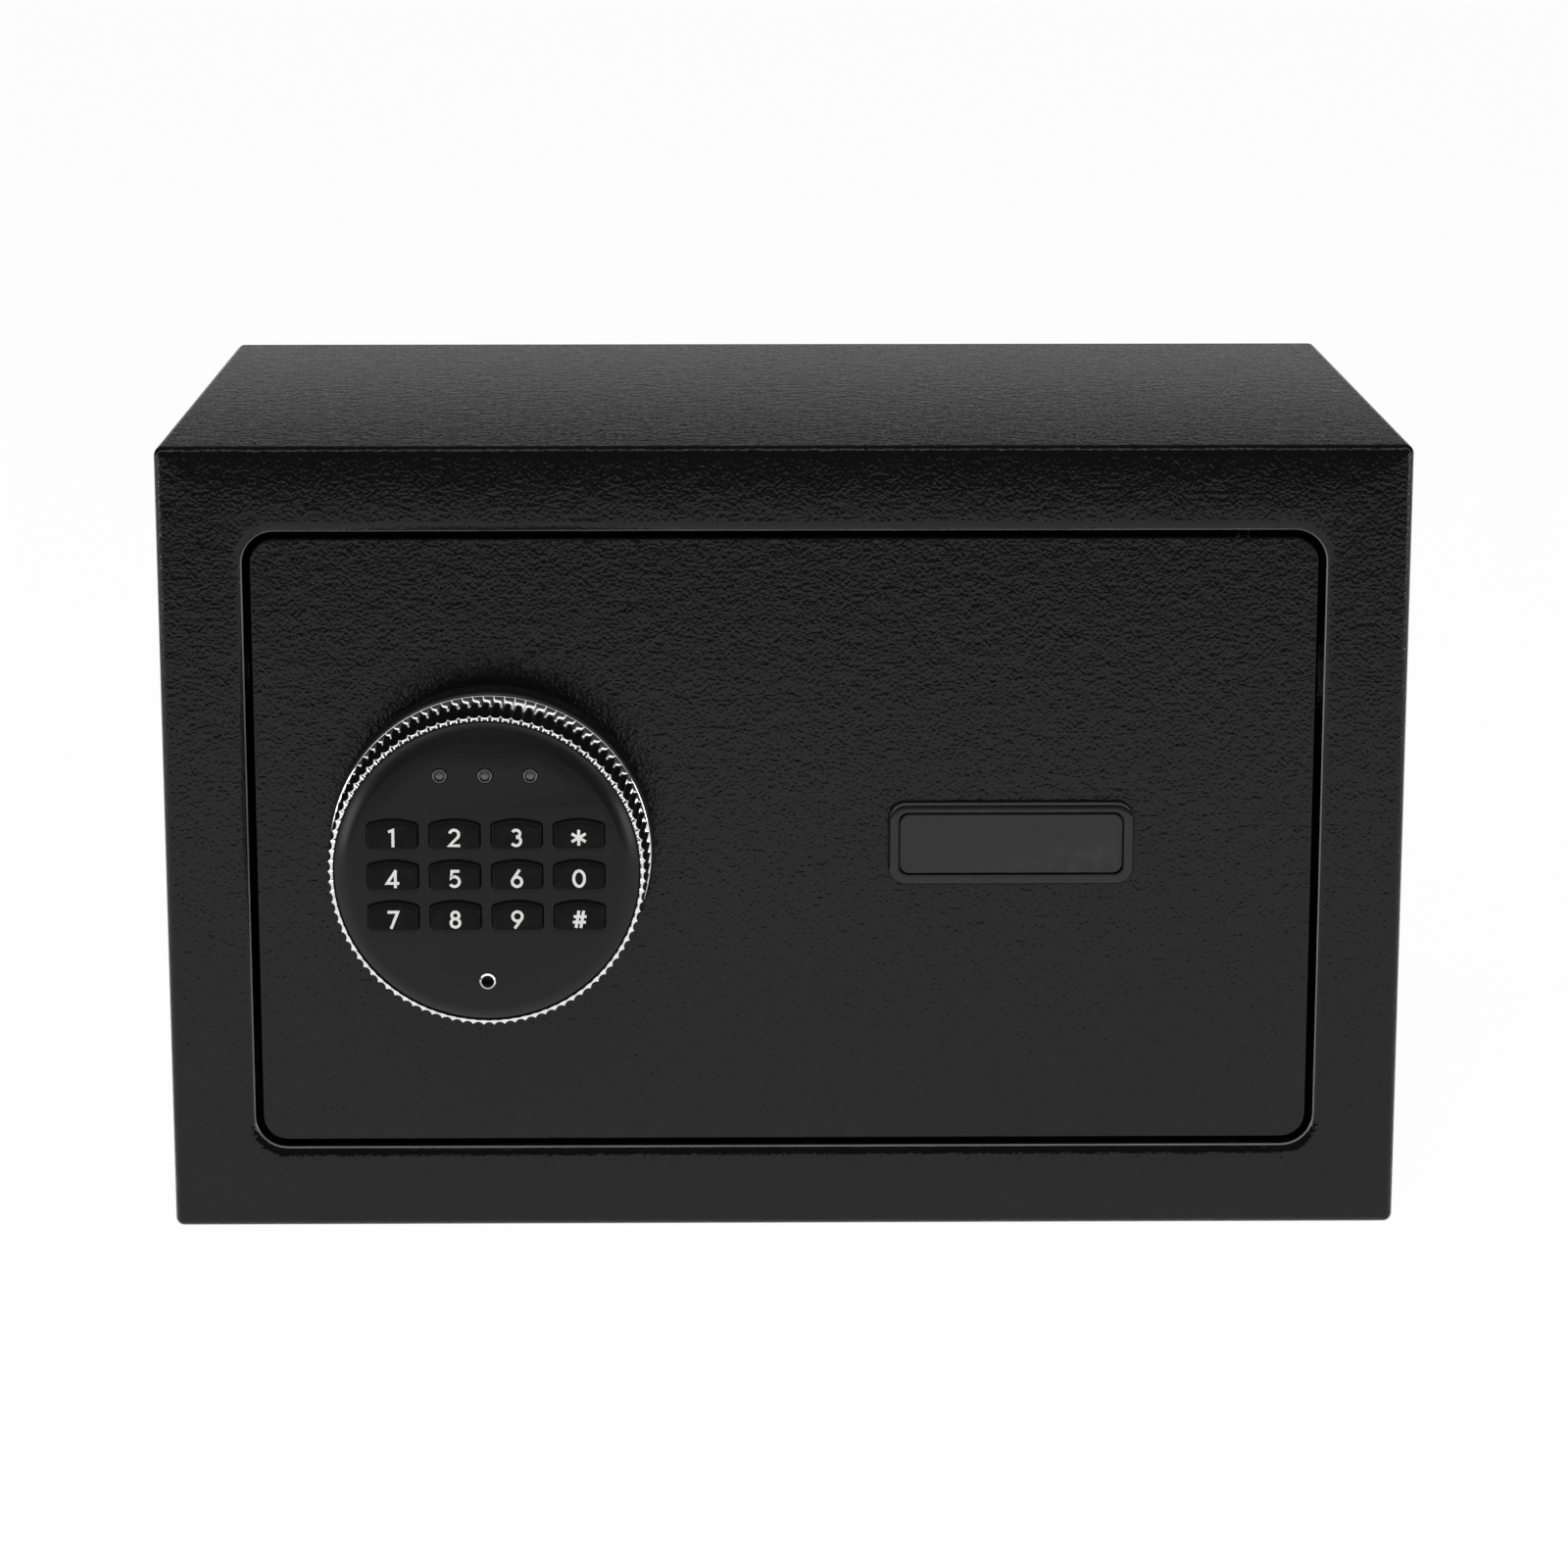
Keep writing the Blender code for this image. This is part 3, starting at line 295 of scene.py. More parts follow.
def finish(name, colour, roughness, metallic=0.0, grain=2500.0, depth=0.01 * MM,
           stretch=(1, 1, 1), variation=0.15, patches=60.0, worn=None, wear=0.5, sockets=None,
           detail=3.0, swell=0.0):
    """A material with varied colour and roughness, a fine grain, and edges lightened to a colour:
    worn edges, and on the coat also a painted highlight.
    """
    material = bpy.data.materials.new(name)
    material.use_nodes = True
    tree = material.node_tree
    shader = tree.nodes["Principled BSDF"]
    shader.inputs["Metallic"].default_value = metallic
    for socket, value in (sockets or {}).items():
        shader.inputs[socket].default_value = value
    coords = tree.nodes.new("ShaderNodeTexCoord").outputs["Object"]
    mapping = tree.nodes.new("ShaderNodeMapping")
    mapping.inputs["Scale"].default_value = stretch
    link(tree, coords, mapping.inputs["Vector"])
    height = noise(tree, mapping.outputs["Vector"], grain, detail)
    broad = noise(tree, coords, patches, PATCH_DETAIL, PATCH_ROUGHNESS)
    dark = tuple(channel * (1 - variation) for channel in colour)
    light = tuple(min(1.0, channel * (1 + variation)) for channel in colour)
    tint = blend_colours(tree, spread(tree, broad, 0, 1), dark, light)
    if worn:
        edges = tree.nodes.new("ShaderNodeNewGeometry").outputs["Pointiness"]
        bare = spread(tree, edges, 0, wear, WORN_START, WORN_END)
        marks = spread(tree, noise(tree, coords, SCUFF_SCALE), 0, 1, SCUFF_START, SCUFF_END)
        tint = blend_colours(tree, combine(tree, "MULTIPLY", bare, marks), tint, worn)
    link(tree, tint, shader.inputs["Base Color"])
    smooth = roughness * (1 - variation)
    rough = roughness * (1 + variation)
    link(tree, spread(tree, broad, smooth, rough), shader.inputs["Roughness"])
    if swell:
        waves = noise(tree, mapping.outputs["Vector"], grain * SWELL_SCALE, SWELL_DETAIL)
        height = combine(tree, "ADD", height, combine(tree, "MULTIPLY", waves, swell))
    bump = tree.nodes.new("ShaderNodeBump")
    bump.inputs["Strength"].default_value = 1.0
    bump.inputs["Distance"].default_value = depth
    link(tree, height, bump.inputs["Height"])
    link(tree, bump.outputs["Normal"], shader.inputs["Normal"])
    return material


MATERIALS = {
    # Coat edges lighten towards grey steel: partly edge wear, partly a painted highlight along the
    # lip's crease
    "coat": finish("powder coat", (0.0024, 0.0024, 0.0025), 0.105, grain=1050.0,
                   depth=0.155 * MM, variation=0.06, worn=BARE_STEEL_AND_HIGHLIGHT, wear=0.15,
                   sockets={"Specular IOR Level": 0.29}, detail=1.5, swell=0.9),
    # Painted highlight: a lighter grey laid on the lip's last facet, standing for the bright line
    # that light draws along the opening's edge
    "edge": finish("painted lip highlight", (0.08, 0.08, 0.081), 0.3, grain=1500.0,
                   depth=0.01 * MM, variation=0.2),
    "mat": finish("felt", (0.03, 0.03, 0.033), 0.95, grain=1400.0, depth=0.4 * MM,
                  variation=0.35, patches=500.0,
                  sockets={"Sheen Weight": 0.4, "Sheen Roughness": 0.6}),
    "zinc": finish("zinc plate", (0.52, 0.51, 0.47), 0.36, metallic=1.0, grain=900.0,
                   depth=0.01 * MM, stretch=(1, 1, 0.2), variation=0.2, patches=140.0,
                   worn=(0.75, 0.75, 0.74)),
    "steel": finish("turned steel", (0.6, 0.6, 0.61), 0.26, metallic=1.0, grain=3000.0,
                    depth=0.008 * MM, stretch=(1, 0.05, 0.05), variation=0.12, patches=90.0,
                    worn=(0.8, 0.8, 0.8)),
    "plastic": finish("black moulding", BLACK, 0.27, grain=3200.0, depth=0.008 * MM,
                      variation=0.08, worn=BLACK_WEAR, wear=0.3,
                      sockets={"Specular IOR Level": 0.23}),
    "gloss": finish("glossy moulding", BLACK, 0.16, grain=3200.0, depth=0.004 * MM,
                    variation=0.08, worn=BLACK_WEAR, wear=0.3,
                    sockets={"Specular IOR Level": 0.42}),
    "keys": finish("key plastic", (0.004, 0.004, 0.0042), 0.3, grain=4500.0, depth=0.006 * MM,
                   variation=0.08, worn=(0.028, 0.028, 0.028), wear=0.08,
                   sockets={"Specular IOR Level": 0.065}),
    "rim": finish("dark nickel", (0.16, 0.16, 0.165), 0.14, metallic=1.0, grain=1200.0,
                  depth=0.002 * MM, variation=0.06, patches=200.0),
    "chrome": finish("chrome", (0.82, 0.82, 0.83), 0.09, metallic=1.0, grain=1200.0,
                     depth=0.002 * MM, variation=0.06, patches=200.0),
    "lens": finish("lamp lens", (0.04, 0.041, 0.042), 0.14, grain=2500.0, depth=0.004 * MM,
                   patches=900.0, sockets={"Coat Weight": 0.6, "Coat Roughness": 0.06}),
    "brass": finish("brass", (0.7, 0.5, 0.22), 0.28, metallic=1.0, grain=2600.0,
                    depth=0.008 * MM, worn=(0.85, 0.68, 0.4)),
    "board": finish("solder mask", (0.012, 0.09, 0.035), 0.4, grain=1800.0, depth=0.02 * MM,
                    variation=0.3, patches=350.0),
    "button": finish("red moulding", (0.42, 0.016, 0.014), 0.32, grain=3000.0,
                     depth=0.006 * MM),
    "cells": finish("cell wrap", (0.05, 0.075, 0.11), 0.28, grain=2000.0, depth=0.005 * MM,
                    worn=(0.2, 0.2, 0.21)),
    "legend": finish("legend print", (0.5, 0.5, 0.49), 0.5, grain=5000.0, depth=0.004 * MM,
                     variation=0.06, patches=400.0),
}


def loft(loops, closed=False):
    """Points and faces of a skin over equal loops, capped unless it closes on itself."""
    count = len(loops[0])
    points = [point for loop in loops for point in loop]
    faces = []
    rows = len(loops) if closed else len(loops) - 1
    for row in range(rows):
        here = row * count
        there = (row + 1) % len(loops) * count
        for index in range(count):
            after = (index + 1) % count
            faces.append((here + index, here + after, there + after, there + index))
    if not closed:
        faces.append(tuple(range(count)))
        faces.append(tuple(range((len(loops) - 1) * count, len(loops) * count)))
    return points, faces


def add_object(name, mesh):
    """Put a mesh in the scene."""
    made = bpy.data.objects.new(name, mesh)
    bpy.context.scene.collection.objects.link(made)
    return made


def turn_faces_out(mesh, merge=0.0):
    """Make a mesh's faces look outwards, after merging points that lie together."""
    bm = bmesh.new()
    bm.from_mesh(mesh)
    if merge:
        bmesh.ops.remove_doubles(bm, verts=bm.verts, dist=merge)
    bmesh.ops.recalc_face_normals(bm, faces=bm.faces)
    bm.to_mesh(mesh)
    bm.free()


def piece(name, shape, node, material=None, sharp=SHARP_ANGLE):
    """Add a modelled piece that stands for a CAD node and rides where the node rides."""
    mesh = bpy.data.meshes.new(name)
    mesh.from_pydata(shape[0], [], shape[1])
    turn_faces_out(mesh, MERGE_REACH)
    mesh.shade_smooth()
    mesh.set_sharp_from_angle(angle=math.radians(sharp))
    made = add_object(name, mesh)
    mesh.materials.append(MATERIALS[material or SLOT_OF[node]])
    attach(made, BODY_OF[node])
    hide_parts(node)
    return made


def rect_loop(width, height, radius, y, centre):
    """Points round a rectangle with round corners, in a plane of the given y."""
    points = []
    for corner, (side, level) in enumerate(((1, 1), (-1, 1), (-1, -1), (1, -1))):
        for step in range(CORNER_STEPS + 1):
            turn = math.pi / 2 * (corner + step / CORNER_STEPS)
            x = centre[0] + side * (width / 2 - radius) + radius * math.cos(turn)
            z = centre[1] + level * (height / 2 - radius) + radius * math.sin(turn)
            points.append((x, y, z))
    return points


def lathe(profile, centre, steps, closed=False):
    """Skin of (radius, y) points turned round a line along Y through the centre."""
    turns = [math.tau * step / steps for step in range(steps)]
    loops = [[(centre[0] + radius * math.cos(turn), y, centre[1] + radius * math.sin(turn))
              for turn in turns] for radius, y in profile]
    return loft(loops, closed)


def bend(radius, steps=BEND_STEPS):
    """(inset, set-back) pairs along a quarter bend, from the side to the face."""
    turns = [math.pi / 2 * step / steps for step in range(steps + 1)]
    return [(radius * (1 - math.cos(turn)), radius * (1 - math.sin(turn))) for turn in turns]


def make_shell():
    """Folded case: outer bends, front frame, rounded lip, inside and rear seam, as one skin."""
    low, high, centre = extent("body_shell")
    width = high.x - low.x
    height = high.z - low.z
    opening = size("door_plate") + Vector((2 * DOOR_GAP, 0, 2 * DOOR_GAP))
    front = low.y
    back = high.y
    loops = [rect_loop(width, height, CORNER_RADIUS, back, centre)]
    for inset, setback in bend(OUTER_BEND):
        radius = max(CORNER_RADIUS - inset, CORNER_LEAST)
        loops.append(rect_loop(width - 2 * inset, height - 2 * inset, radius, front + setback,
                               centre))
    for step in range(BEND_STEPS + 1):
        turn = LIP_TURN * step / BEND_STEPS
        inset = LIP_BEND * (math.sin(LIP_TURN) - math.sin(turn))
        loops.append(rect_loop(opening.x + 2 * inset, opening.z + 2 * inset,
                               OPENING_RADIUS + inset, front + LIP_BEND * (1 - math.cos(turn)),
                               centre))
    crease_y = front + LIP_BEND * (1 - math.cos(LIP_TURN)) + LIP_CREASE
    loops.append(rect_loop(opening.x, opening.z, OPENING_RADIUS, crease_y, centre))
    lip_back = front + LIP_DEPTH
    outer_x = opening.x + 2 * SHEET
    outer_z = opening.z + 2 * SHEET
    loops.append(rect_loop(opening.x, opening.z, OPENING_RADIUS, lip_back, centre))
    loops.append(rect_loop(outer_x, outer_z, OPENING_RADIUS + SHEET, lip_back, centre))
    loops.append(rect_loop(outer_x, outer_z, OPENING_RADIUS + SHEET, front + SHEET, centre))
    inner_x = width - 2 * SHEET
    inner_z = height - 2 * SHEET
    loops.append(rect_loop(inner_x, inner_z, CORNER_RADIUS / 2, front + SHEET, centre))
    seam_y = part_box("back_panel")[1][1] + SEAM_GAP
    seam_x = inner_x - 2 * SEAM_WIDTH
    seam_z = inner_z - 2 * SEAM_WIDTH
    loops.append(rect_loop(inner_x, inner_z, CORNER_RADIUS / 2, seam_y, centre))
    loops.append(rect_loop(seam_x, seam_z, CORNER_RADIUS / 2, seam_y, centre))
    loops.append(rect_loop(seam_x, seam_z, CORNER_RADIUS / 2, back, centre))
    shell = piece("case_shell", loft(loops, True), "body_shell")
    paint_lip_highlight(shell, centre, opening, front)


def paint_lip_highlight(shell, centre, opening, front):
    """Paint the last facet of the shell's lip a lighter grey: a painted highlight along the
    opening's edge.
    """
    shell.data.materials.append(MATERIALS["edge"])
    last_turn = LIP_TURN * (BEND_STEPS - 0.5) / BEND_STEPS
    highlight_y = front + LIP_BEND * (1 - math.cos(last_turn))
    for face in shell.data.polygons:
        off_x = abs(face.center.x - centre[0]) - opening.x / 2
        off_z = abs(face.center.z - centre[1]) - opening.z / 2
        if abs(face.center.y - highlight_y) < LIP_CREASE and max(off_x, off_z) < LIP_BEND / 2:
            face.material_index = 1


def soften(node, width):
    """Round a carried-over node's edges."""
    item = NODES[node]
    weld = item.modifiers.new("weld", "WELD")
    weld.merge_threshold = WELD_REACH
    bevel = item.modifiers.new("rounded edges", "BEVEL")
    bevel.width = width
    bevel.segments = BEVEL_SEGMENTS
    bevel.limit_method = "ANGLE"
    bevel.angle_limit = math.radians(BEVEL_ANGLE)
    bevel.harden_normals = True


def paint(node):
    """Give a carried-over node its procedural finish."""
    item = NODES[node]
    item.data.materials.clear()
    item.data.materials.append(MATERIALS[SLOT_OF[node]])


def make_cover():
    """The lock's cover: a plate with round corners and softly broken edges."""
    low, high, centre = extent("override_cover")
    width = high.x - low.x
    height = high.z - low.z
    loops = [rect_loop(width, height, COVER_RADIUS, high.y, centre)]
    for inset, setback in bend(COVER_ROUND, COVER_STEPS):
        loops.append(rect_loop(width - 2 * inset, height - 2 * inset, COVER_RADIUS - inset,
                               low.y + setback, centre))
    inset = COVER_ROUND + FLAT_MARGIN
    loops.append(rect_loop(width - 2 * inset, height - 2 * inset, COVER_RADIUS - inset, low.y,
                           centre))
    piece("override_lid", loft(loops), "override_cover", "gloss")


def make_bezel():
    """The lock's bezel: a frame whose outer edge rises in a soft round to a narrow flat."""
    low, high, centre = extent("override_bezel")
    width = high.x - low.x
    height = high.z - low.z
    hole = size("override_cover") + Vector((2 * BEZEL_GAP, 0, 2 * BEZEL_GAP))
    loops = [rect_loop(width, height, BEZEL_RADIUS, high.y, centre)]
    for inset, setback in bend(BEZEL_ROUND, BEZEL_STEPS):
        loops.append(rect_loop(width - 2 * inset, height - 2 * inset, BEZEL_RADIUS - inset,
                               low.y + setback, centre))
    for inset, setback in reversed(bend(BEZEL_INNER_ROUND, BEZEL_INNER_STEPS)):
        loops.append(rect_loop(hole.x + 2 * inset, hole.z + 2 * inset, COVER_RADIUS + inset,
                               low.y + setback, centre))
    loops.append(rect_loop(hole.x, hole.z, COVER_RADIUS, high.y, centre))
    piece("lock_bezel", loft(loops, True), "override_bezel", "gloss", FACET_ANGLE)


def join_shapes(shapes):
    """Points and faces of several shapes as one."""
    points = []
    faces = []
    for shape_points, shape_faces in shapes:
        start = len(points)
        points.extend(shape_points)
        faces.extend(tuple(start + index for index in face) for face in shape_faces)
    return points, faces


def cut_holes(made, shapes):
    """Cut closed shapes out of a piece."""
    points, faces = join_shapes(shapes)
    mesh = bpy.data.meshes.new("holes")
    mesh.from_pydata(points, [], faces)
    turn_faces_out(mesh)
    cutter = add_object("holes", mesh)
    change = made.modifiers.new("holes", "BOOLEAN")
    change.operation = "DIFFERENCE"
    change.solver = "EXACT"
    change.object = cutter
    graph = bpy.context.evaluated_depsgraph_get()
    result = bpy.data.meshes.new_from_object(made.evaluated_get(graph))
    made.modifiers.clear()
    made.data = result
    bpy.data.objects.remove(cutter)
    result.shade_smooth()
    result.set_sharp_from_angle(angle=math.radians(CUT_ANGLE))


def key_loop(centre, half_width, half_height, corner, y):
    """Points round a key: flat bottom, arched top, round corners."""
    radius = (half_width ** 2 + KEY_ARCH ** 2) / (2 * KEY_ARCH)
    shoulder = half_height - KEY_ARCH
    reach = math.asin((half_width - corner) / radius)
    drop = math.cos(math.asin(half_width / radius)) * radius
    points = []
    for step in range(KEY_ARCH_STEPS + 1):
        turn = reach * (1 - 2 * step / KEY_ARCH_STEPS)
        points.append((radius * math.sin(turn), shoulder + radius * math.cos(turn) - drop))
    side = half_width - corner
    bottom = -half_height + corner
    top = shoulder + radius * math.cos(reach) - drop - corner
    corners = ((-side, top, math.pi / 2), (-side, bottom, math.pi),
               (side, bottom, 1.5 * math.pi), (side, top, 0))
    for x, z, start in corners:
        for step in range(1, KEY_CORNER_STEPS + 1):
            turn = start + math.pi / 2 * step / (KEY_CORNER_STEPS + 1)
            points.append((x + corner * math.cos(turn), z + corner * math.sin(turn)))
    return [(centre[0] + x, y, centre[1] + z) for x, z in points]


def make_keys():
    """Twelve keys with crowned, rounded tops and printed legends; returns their pockets."""
    pockets = []
    for node in NODES:
        if not node.startswith("key_"):
            continue
        low, high, centre = extent(node)
        half_width = (high.x - low.x) / 2
        half_height = (high.z - low.z) / 2
        loops = [key_loop(centre, half_width, half_height, KEY_CORNER, high.y)]
        for inset, setback in bend(KEY_ROUND, KEY_ROUND_STEPS):
            toe = inset * (1 - KEY_TOE) / 2
            loops.append(key_loop((centre[0], centre[1] - toe), half_width - inset,
                                  half_height - inset + toe, KEY_CORNER - inset / 2,
                                  low.y + setback))
        loops.append([(centre[0] + (x - centre[0]) * KEY_FLAT, y,
                       centre[1] + (z - centre[1]) * KEY_FLAT) for x, y, z in loops[-1]])
        piece(node.replace("key_", "push_key_"), loft(loops), node)
        pocket = [key_loop(centre, half_width + KEY_SPARE, half_height + KEY_SPARE,
                           KEY_CORNER + KEY_SPARE, y)
                  for y in (low.y - CUT_OVER, high.y + KEY_TRAVEL)]
        pockets.append(loft(pocket))
        add_legend(node, centre, low.y)
    return pockets


def arc(x, z, radius, start, end, squeeze=1.0):
    """Points along an arc in degrees, optionally narrowed across."""
    steps = max(ARC_LEAST, round(abs(end - start) / ARC_TURN))
    turns = [math.radians(start + (end - start) * step / steps) for step in range(steps + 1)]
    return [(x + squeeze * radius * math.cos(turn), z + radius * math.sin(turn))
            for turn in turns]


def spokes(length, count):
    """Strokes through the middle, evenly turned."""
    turns = [math.pi / 2 + math.pi * step / count for step in range(count)]
    tips = [(length * math.cos(turn), length * math.sin(turn)) for turn in turns]
    return [[(-x, -z), (x, z)] for x, z in tips]


# Strokes of each legend, about five units high round the middle of the character
SIX = [arc(0, -0.85, 1.3, 0, 360), [(-1.1, -0.15), (0.75, 2.5)]]
GLYPHS = {
    "0": [arc(0, 0, 2.15, 0, 360, 0.68)],
    "1": [[(-0.95, 1.7), (0.3, 2.2), (0.3, -2.5)]],
    "2": [arc(0, 0.95, 1.25, 165, -35) + [(-1.3, -2.12), (1.6, -2.12)]],
    "3": [arc(-0.1, 1.1, 1.05, 150, -90), arc(-0.1, -0.9, 1.25, 90, -150)],
    "4": [[(1.8, -1.2), (-1.5, -1.2), (0.75, 2.1)], [(0.75, 2.5), (0.75, -2.5)]],
    "5": [[(1.3, 2.12), (-0.75, 2.12), (-1.0, 0.2)] + arc(-0.1, -0.75, 1.35, 120, -145)],
    "6": SIX,
    "7": [[(-1.5, 2.12), (1.25, 2.12), (-0.65, -2.5)]],
    "8": [arc(0, 1.15, 0.98, 0, 360), arc(0, -0.95, 1.18, 0, 360)],
    "9": [[(-x, -z) for x, z in stroke] for stroke in SIX],
    "star": spokes(2.2, 3),
    "hash": [[(-0.95, -2.4), (-0.15, 2.4)], [(0.35, -2.4), (1.15, 2.4)],
             [(-1.6, 0.75), (1.9, 0.75)], [(-1.8, -0.8), (1.7, -0.8)]],
}


def stroke_shape(points, centre, y, thick):
    """A flat printed stroke, closed on itself where its points come back to their start."""
    closed = math.dist(points[0], points[-1]) < SAME_POINT
    path = [Vector((x, z)) * LEGEND_UNIT for x, z in (points[:-1] if closed else points)]
    loops = []
    for index, here in enumerate(path):
        before = path[index - 1] if index or closed else here
        after = path[(index + 1) % len(path)] if index + 1 < len(path) or closed else here
        come = (here - before).normalized() if here != before else (after - here).normalized()
        leave = (after - here).normalized() if here != after else come
        mitre = Vector((-come.y - leave.y, come.x + leave.x)).normalized()
        reach = LEGEND_STROKE / 2 / max(MITRE_LIMIT, mitre.dot(Vector((-come.y, come.x))))
        left = here + mitre * reach
        right = here - mitre * reach
        ends = ((left, y), (right, y), (right, y - thick), (left, y - thick))
        loops.append([(centre[0] + spot.x, level, centre[1] + spot.y - LEGEND_DROP)
                      for spot, level in ends])
    return loft(loops, closed)


def add_legend(node, centre, y):
    """Print a key's character on its top, each stroke a hair above the one before."""
    strokes = GLYPHS[node.removeprefix("key_")]
    shapes = [stroke_shape(stroke, centre, y, LEGEND_THICK + layer * LEGEND_LAYER)
              for layer, stroke in enumerate(strokes)]
    points, faces = join_shapes(shapes)
    mesh = bpy.data.meshes.new("legend_" + node)
    mesh.from_pydata(points, [], faces)
    made = add_object("legend_" + node, mesh)
    mesh.materials.append(MATERIALS["legend"])
    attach(made, BODY_OF[node])


def make_knob():
    """The turning keypad: fixed base, fluted chrome ring, black head, lamps and contact."""
    low, high, centre = extent("knob_base")
    radius = (high.x - low.x) / 2
    rounds = [(radius - inset, low.y + setback) for inset, setback in bend(BASE_ROUND, BASE_STEPS)]
    base = [(SPINDLE_RADIUS, high.y), (radius, high.y)] + rounds + [(SPINDLE_RADIUS, low.y)]
    piece("escutcheon", lathe(base, centre, BASE_TURNS, True), "knob_base", sharp=FACET_ANGLE)
    make_ring(centre)
    low, high, _ = extent("keypad_body")
    face_y = low.y
    ring_front = Vector(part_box("knob_ring")[0]).y
    rim = (high.x - low.x) / 2
    profile = [(SPINDLE_RADIUS, high.y), (rim, high.y), (rim, ring_front + HEAD_SETBACK),
               (rim - HEAD_BREAK, ring_front), (FACE_RADIUS + FACE_BREAK, face_y + FACE_FALL),
               (FACE_RADIUS - FACE_BREAK, face_y)]
    head = piece("keypad_head", lathe(profile, centre, HEAD_TURNS), "keypad_body",
                 sharp=HEAD_ANGLE)
    holes = make_keys()
    for number in (1, 2, 3):
        radius = size("led_ring_%d" % number).x / 2 + LAMP_GAP
        holes.append(round_hole("led_%d" % number, radius, face_y, LAMP_DEPTH))
        make_lamp(number, face_y)
    radius = size("power_contact").x / 2
    holes.append(round_hole("power_contact", radius, face_y, CONTACT_DEPTH))
    make_contact()
    cut_holes(head, holes)


def round_hole(node, radius, face_y, depth):
    """Cutter for a round hole in the knob's face, in line with a node."""
    centre = extent(node)[2]
    return lathe([(radius, face_y - CUT_OVER), (radius, face_y + depth)], centre, HOLE_TURNS)


def make_ring(centre):
    """Chrome grip ring: scoops between sharp teeth, from a rear rim to a front flat and cone."""
    low, high, _ = extent("knob_ring")
    outer = (high.x - low.x) / 2
    bore = size("keypad_body").x / 2 + RING_BORE_GAP
    front = outer - RING_TAPER
    rim_y = high.y - RING_RIM
    flat_y = low.y + RING_CHAMFER
    count = TEETH * TOOTH_SAMPLES
    columns = []
    for step in range(count):
        across = 2 * (step % TOOTH_SAMPLES) / TOOTH_SAMPLES - 1
        dip = TOOTH_DEPTH * (1 - across ** 2)
        ridge = front - dip
        outline = [(bore, high.y), (outer - RING_EDGE, high.y), (outer, high.y - RING_EDGE),
                   (outer, rim_y + RING_EDGE), (outer - RING_EDGE, rim_y),
                   (outer - RING_EDGE - dip, rim_y - SCOOP_SLANT * dip),
                   (ridge, flat_y + RING_EDGE), (ridge - RING_EDGE, flat_y),
                   (ridge - RING_FLAT, flat_y), (bore + RING_EDGE, low.y),
                   (bore, low.y + RING_EDGE)]
        turn = math.tau * step / count
        columns.append([(centre[0] + reach * math.cos(turn), y, centre[1] + reach * math.sin(turn))
                        for reach, y in outline])
    loops = [list(loop) for loop in zip(*columns)]
    piece("grip_ring", loft(loops, True), "knob_ring", sharp=RING_ANGLE)


def make_lamp(number, face_y):
    """One indicator: a rounded dark rim and a domed grey lens."""
    rim_node = "led_ring_%d" % number
    lens_node = "led_%d" % number
    low, high, centre = extent(rim_node)
    outer = (high.x - low.x) / 2
    lens = size(lens_node).x / 2
    inner = lens + LENS_GAP
    tube = (outer - inner) / 2
    turns = [math.pi * step / RIM_STEPS for step in range(RIM_STEPS + 1)]
    bead = [(inner + tube - tube * math.cos(turn), low.y + tube - tube * math.sin(turn))
            for turn in turns]
    profile = [(inner, high.y)] + bead + [(outer, high.y)]
    piece("lamp_rim_%d" % number, lathe(profile, centre, RIM_TURNS, True), rim_node, "rim")
    dome = [(lens, face_y + LENS_DEPTH)]
    for step in range(LENS_STEPS):
        turn = math.pi / 2 * step / LENS_STEPS
        dome.append((lens * math.cos(turn),
                     face_y + LENS_SHOULDER - LENS_RISE * math.sin(turn)))
    piece("lamp_lens_%d" % number, lathe(dome, centre, LENS_TURNS), lens_node)


def make_contact():
    """Chrome ring of the external power contact, with its dark bore."""
    low, high, centre = extent("power_contact")
    outer = (high.x - low.x) / 2
    profile = [(CONTACT_BORE, high.y), (CONTACT_BORE, low.y + CONTACT_BREAK),
               (CONTACT_BORE + CONTACT_INNER_BREAK, low.y), (outer - CONTACT_BREAK, low.y),
               (outer, low.y + CONTACT_BREAK), (outer, high.y)]
    piece("contact_ring", lathe(profile, centre, CONTACT_TURNS, True), "power_contact")


def make_screws():
    """Pan heads with a cross recess on the inner cover."""
    for number in (1, 2, 3, 4):
        node = "cover_screw_%d" % number
        low, high, centre = extent(node)
        head = (high.x - low.x) / 2
        seat = high.y - SCREW_HEAD
        profile = [(SCREW_SHANK, low.y), (SCREW_SHANK, seat), (head, seat)]
        for step in range(1, SCREW_STEPS):
            turn = math.pi / 2 * step / SCREW_STEPS
            profile.append((head * math.cos(turn), seat + SCREW_HEAD * math.sin(turn)))
        made = piece("pan_screw_%d" % number, lathe(profile, centre, SCREW_TURNS), node)
        for half_x, half_z in ((SCREW_CROSS, SCREW_SLOT), (SCREW_SLOT, SCREW_CROSS)):
            loops = [rect_loop(2 * half_x, 2 * half_z, SCREW_SLOT_ROUND, y, centre)
                     for y in (high.y - SCREW_HEAD * SCREW_SLOT_SHARE, high.y + CUT_OVER)]
            cut_holes(made, [loft(loops)])


